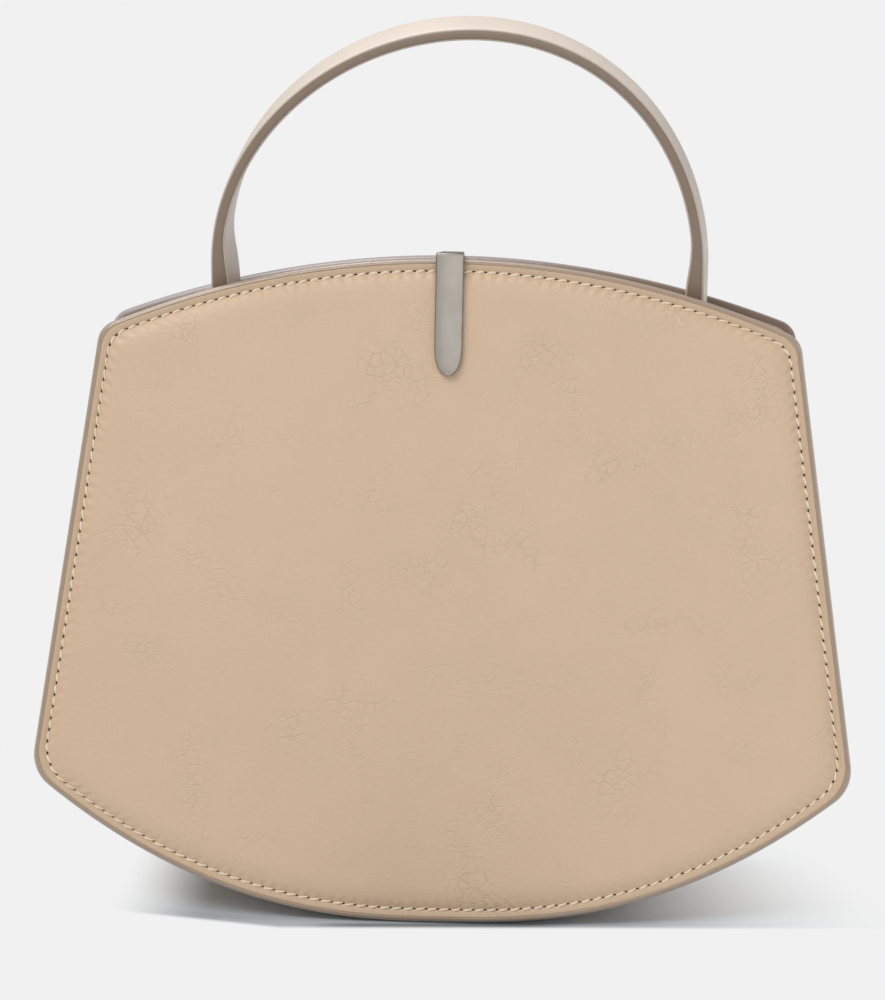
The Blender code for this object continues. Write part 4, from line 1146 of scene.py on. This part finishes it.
def make_tab():
    rows, under = tab_rows()
    across = Vector((1.0, 0.0, 0.0))
    sections = []
    for inner, outer, width in rows:
        half = width / 2
        r = min(TAB_ROUND, half / 3)
        through = (outer - inner).normalized()
        section = []
        for sign_x, base, sign_t, turn in (
            (1, inner, -1, -90), (1, outer, 1, 0), (-1, outer, 1, 90), (-1, inner, -1, 180)
        ):
            middle = Vector((sign_x * (half - r), base.y, base.z)) - through * (sign_t * r)
            for k in range(4):
                angle = math.radians(turn + 30 * k)
                x, y = r * math.cos(angle), r * math.sin(angle)
                section.append(middle + across * x + through * y)
        sections.append(section)
    tab = piece("clasp_bar", *loft(sections), tab_metal)
    half = KNUCKLE_WIDTH / 2
    neck = half - KNUCKLE_SETBACK
    low = Vector((-neck, HINGE.y - NECK_FRONT, HINGE.z))
    high = Vector((neck, HINGE.y - GAP, under + TAB_REAR_THICKNESS / 2))
    seat = panel_point(-1, 0.0, PANEL_HEIGHT - MAGNET_DROP, PUFFED_FACE + TAB_STANDOFF)
    outwards = Vector((0.0, -math.cos(PANEL_LEAN), math.sin(PANEL_LEAN)))
    room = KEEPER_RADIUS + GAP
    bore = PIN_RADIUS + GAP
    reach = half + CUT_OVERRUN
    deep = KEEPER_THICKNESS + GAP
    helpers = []
    for name, shape, operation in (
        ("tab_neck", box(low, high), "UNION"),
        ("tab_knuckle", rod(-half, half, KNUCKLE_RADIUS, HINGE, across), "UNION"),
        ("tab_bore", rod(-reach, reach, bore, HINGE, across), "DIFFERENCE"),
        ("tab_pocket", rod(-CUT_OVERRUN, deep, room, seat, outwards), "DIFFERENCE"),
    ):
        helper = piece(name, *shape, tab_metal)
        helpers.append(helper)
        modifier = tab.modifiers.new(name, "BOOLEAN")
        modifier.object = helper
        modifier.operation = operation
        modifier.solver = "EXACT"
    bpy.context.view_layer.update()
    graph = bpy.context.evaluated_depsgraph_get()
    shaped = bpy.data.meshes.new_from_object(tab.evaluated_get(graph))
    tab.modifiers.clear()
    tab.data = shaped
    for helper in helpers:
        bpy.data.objects.remove(helper, do_unlink=True)
    shaped.shade_smooth()
    shaped.set_sharp_from_angle(angle=TAB_SHARP)
    return tab


clasp = make_tab()
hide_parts("clasp_tab")
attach(clasp, "clasp")


# Materials of the CAD nodes that stay

for node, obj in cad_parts.items():
    if "board" in node or node == "strap_core":
        skin = board
    elif node in ("catch_magnet", "clasp_keeper"):
        skin = magnet_metal
    else:
        skin = hinge_metal
    if not obj.hide_render:
        obj.data.materials.clear()
        obj.data.materials.append(skin)


# Floor, light and camera

BACKGROUND = tone(241, 241, 241)
# Colour of the shadow painted on the floor
PAINTED_SHADOW_COLOUR = tone(8, 8, 8)
AMBIENT = 0.30
FLOOR_SIZE = 20.0
FLOOR_CELLS = 40
LAMPS = (
    ("key", (-0.8, -1.4, 1.9), (0.0, 0.0, 0.10), 1.3, 1.1, 28.2),
    ("front", (0.2, -2.0, 0.60), (0.0, 0.0, 0.08), 1.6, 1.1, 9.2),
    ("top", (-0.4, 0.45, 1.6), (0.0, 0.0, 0.15), 1.1, 1.0, 14.0),
    ("side", (1.5, 0.35, 0.55), (0.0, 0.0, 0.18), 1.0, 1.0, 4.5),
)

# Where the floor's shade fades, in metres from the bag's middle; the under and contact fades bound
# a shadow painted into the floor's colour, the others where the floor's lit shading gives way to
# the flat background
LEFT_FADE = (-0.098, -0.066)
RIGHT_FADE = (0.036, 0.132)
FRONT_FADE = (-0.0502, -0.0462)
BACK_FADE = (0.040, 0.110)
UNDER_SHADOW_FADE = (-0.044, -0.028)
UNDER_SHADOW_RIGHT = (0.010, 0.120)
CONTACT_SHADOW_FADE = (-0.0455, -0.0425)
CONTACT_SHADOW_SQUARE = (0.0004, 0.0017)


def make_floor():
    places = [FLOOR_SIZE * (i / FLOOR_CELLS - 0.5) for i in range(FLOOR_CELLS + 1)]
    points = [(x, y, 0.0) for x in places for y in places]
    row = FLOOR_CELLS + 1
    starts = [i * row + j for i in range(FLOOR_CELLS) for j in range(FLOOR_CELLS)]
    faces = [(a, a + 1, a + row + 1, a + row) for a in starts]
    s = Surface("pale_floor", 0.9)
    fill(s.shader, Specular_IOR_Level=0.1)
    grain = s.spread(s.noise(300.0, 3.0), 0.3, 0.7)
    # Faintly bluish, to cancel the warm light the leather bounces onto the floor: a painted
    # correction of light
    pale = s.mix(grain, tone(222, 230, 237), tone(224, 232, 239))
    s.uneven(0.85, 0.95, 200.0)
    axes = s.add("ShaderNodeSeparateXYZ")
    s.link(s.place, axes.inputs[0])
    across, depth = axes.outputs["X"], axes.outputs["Y"]
    left = s.spread(across, -0.095, -0.045, 0.0175, 0.0)
    front = s.less(s.less(depth, s.times(across, 0.078)), left)
    near = s.times(
        s.rising(across, LEFT_FADE),
        s.falling(s.less(across, s.times(depth, -0.30)), RIGHT_FADE),
    )
    near = s.times(near, s.rising(front, FRONT_FADE))
    near = s.times(near, s.falling(depth, BACK_FADE))
    # Painted shadow: the floor's colour is darkened along the bag's front, more at the left, and
    # along the middle where the bag touches the floor
    under = s.times(s.falling(front, UNDER_SHADOW_FADE), s.falling(across, UNDER_SHADOW_RIGHT))
    contact_shadow = s.times(s.falling(front, CONTACT_SHADOW_FADE), s.falling(s.times(across, across), CONTACT_SHADOW_SQUARE))
    shaded = s.mix(s.times(under, 0.31), pale, PAINTED_SHADOW_COLOUR)
    s.colour(s.mix(s.times(contact_shadow, 0.55), shaded, PAINTED_SHADOW_COLOUR))
    far = s.spread(near, 0.0, 1.0, 1.0, 0.0)
    paths = s.add("ShaderNodeLightPath")
    seen = paths.outputs["Is Camera Ray"]
    for kind in ("Is Glossy Ray", "Is Transmission Ray"):
        seen = worked(s.tree, "MAXIMUM", seen, paths.outputs[kind])
    glow = s.add("ShaderNodeEmission")
    fill(glow, Color=BACKGROUND)
    shaders = s.shader.outputs[0], glow.outputs[0]
    choose(s.tree, s.times(far, seen), *shaders, "Material Output")
    mesh = bpy.data.meshes.new("floor")
    mesh.from_pydata(points, [], faces)
    mesh.materials.append(s.material)
    floor = placed("floor", mesh)


def make_lamp(name, place, target, width, height, power):
    data = bpy.data.lights.new(name, "AREA")
    data.shape = "RECTANGLE"
    data.size = width
    data.size_y = height
    data.energy = power
    lamp = placed(name, data)
    lamp.location = place
    lamp.rotation_mode = "QUATERNION"
    lamp.rotation_quaternion = (Vector(target) - Vector(place)).to_track_quat("-Z", "Y")


def make_world():
    world = bpy.data.worlds.new("studio")
    world.use_nodes = True
    tree = world.node_tree
    background = tree.nodes["Background"]
    fill(background, Color=(1.0, 1.0, 1.0, 1.0), Strength=AMBIENT)
    shown = tree.nodes.new("ShaderNodeBackground")
    fill(shown, Color=BACKGROUND)
    paths = tree.nodes.new("ShaderNodeLightPath")
    kinds = paths.outputs["Is Camera Ray"], paths.outputs["Is Transmission Ray"]
    clear = worked(tree, "MAXIMUM", *kinds)
    choose(tree, clear, background.outputs[0], shown.outputs[0], "World Output")
    bpy.context.scene.world = world


def make_camera():
    matrix = Matrix.Rotation(CAMERA_YAW, 4, "Z")
    matrix @= Matrix.Rotation(math.pi / 2 - CAMERA_PITCH, 4, "X")
    matrix @= Matrix.Rotation(CAMERA_ROLL, 4, "Z")
    matrix.translation = CAMERA_TARGET + matrix.col[2].xyz * CAMERA_DISTANCE
    data = bpy.data.cameras.new("camera")
    data.sensor_width = SENSOR
    data.lens = SENSOR * FOCAL_SHARE
    data.clip_start = 0.05
    data.clip_end = 100.0
    camera = placed("camera", data)
    camera.matrix_world = matrix
    bpy.context.scene.camera = camera


make_floor()
make_world()
for lamp in LAMPS:
    make_lamp(*lamp)
make_camera()
bpy.context.scene.view_settings.view_transform = "Standard"
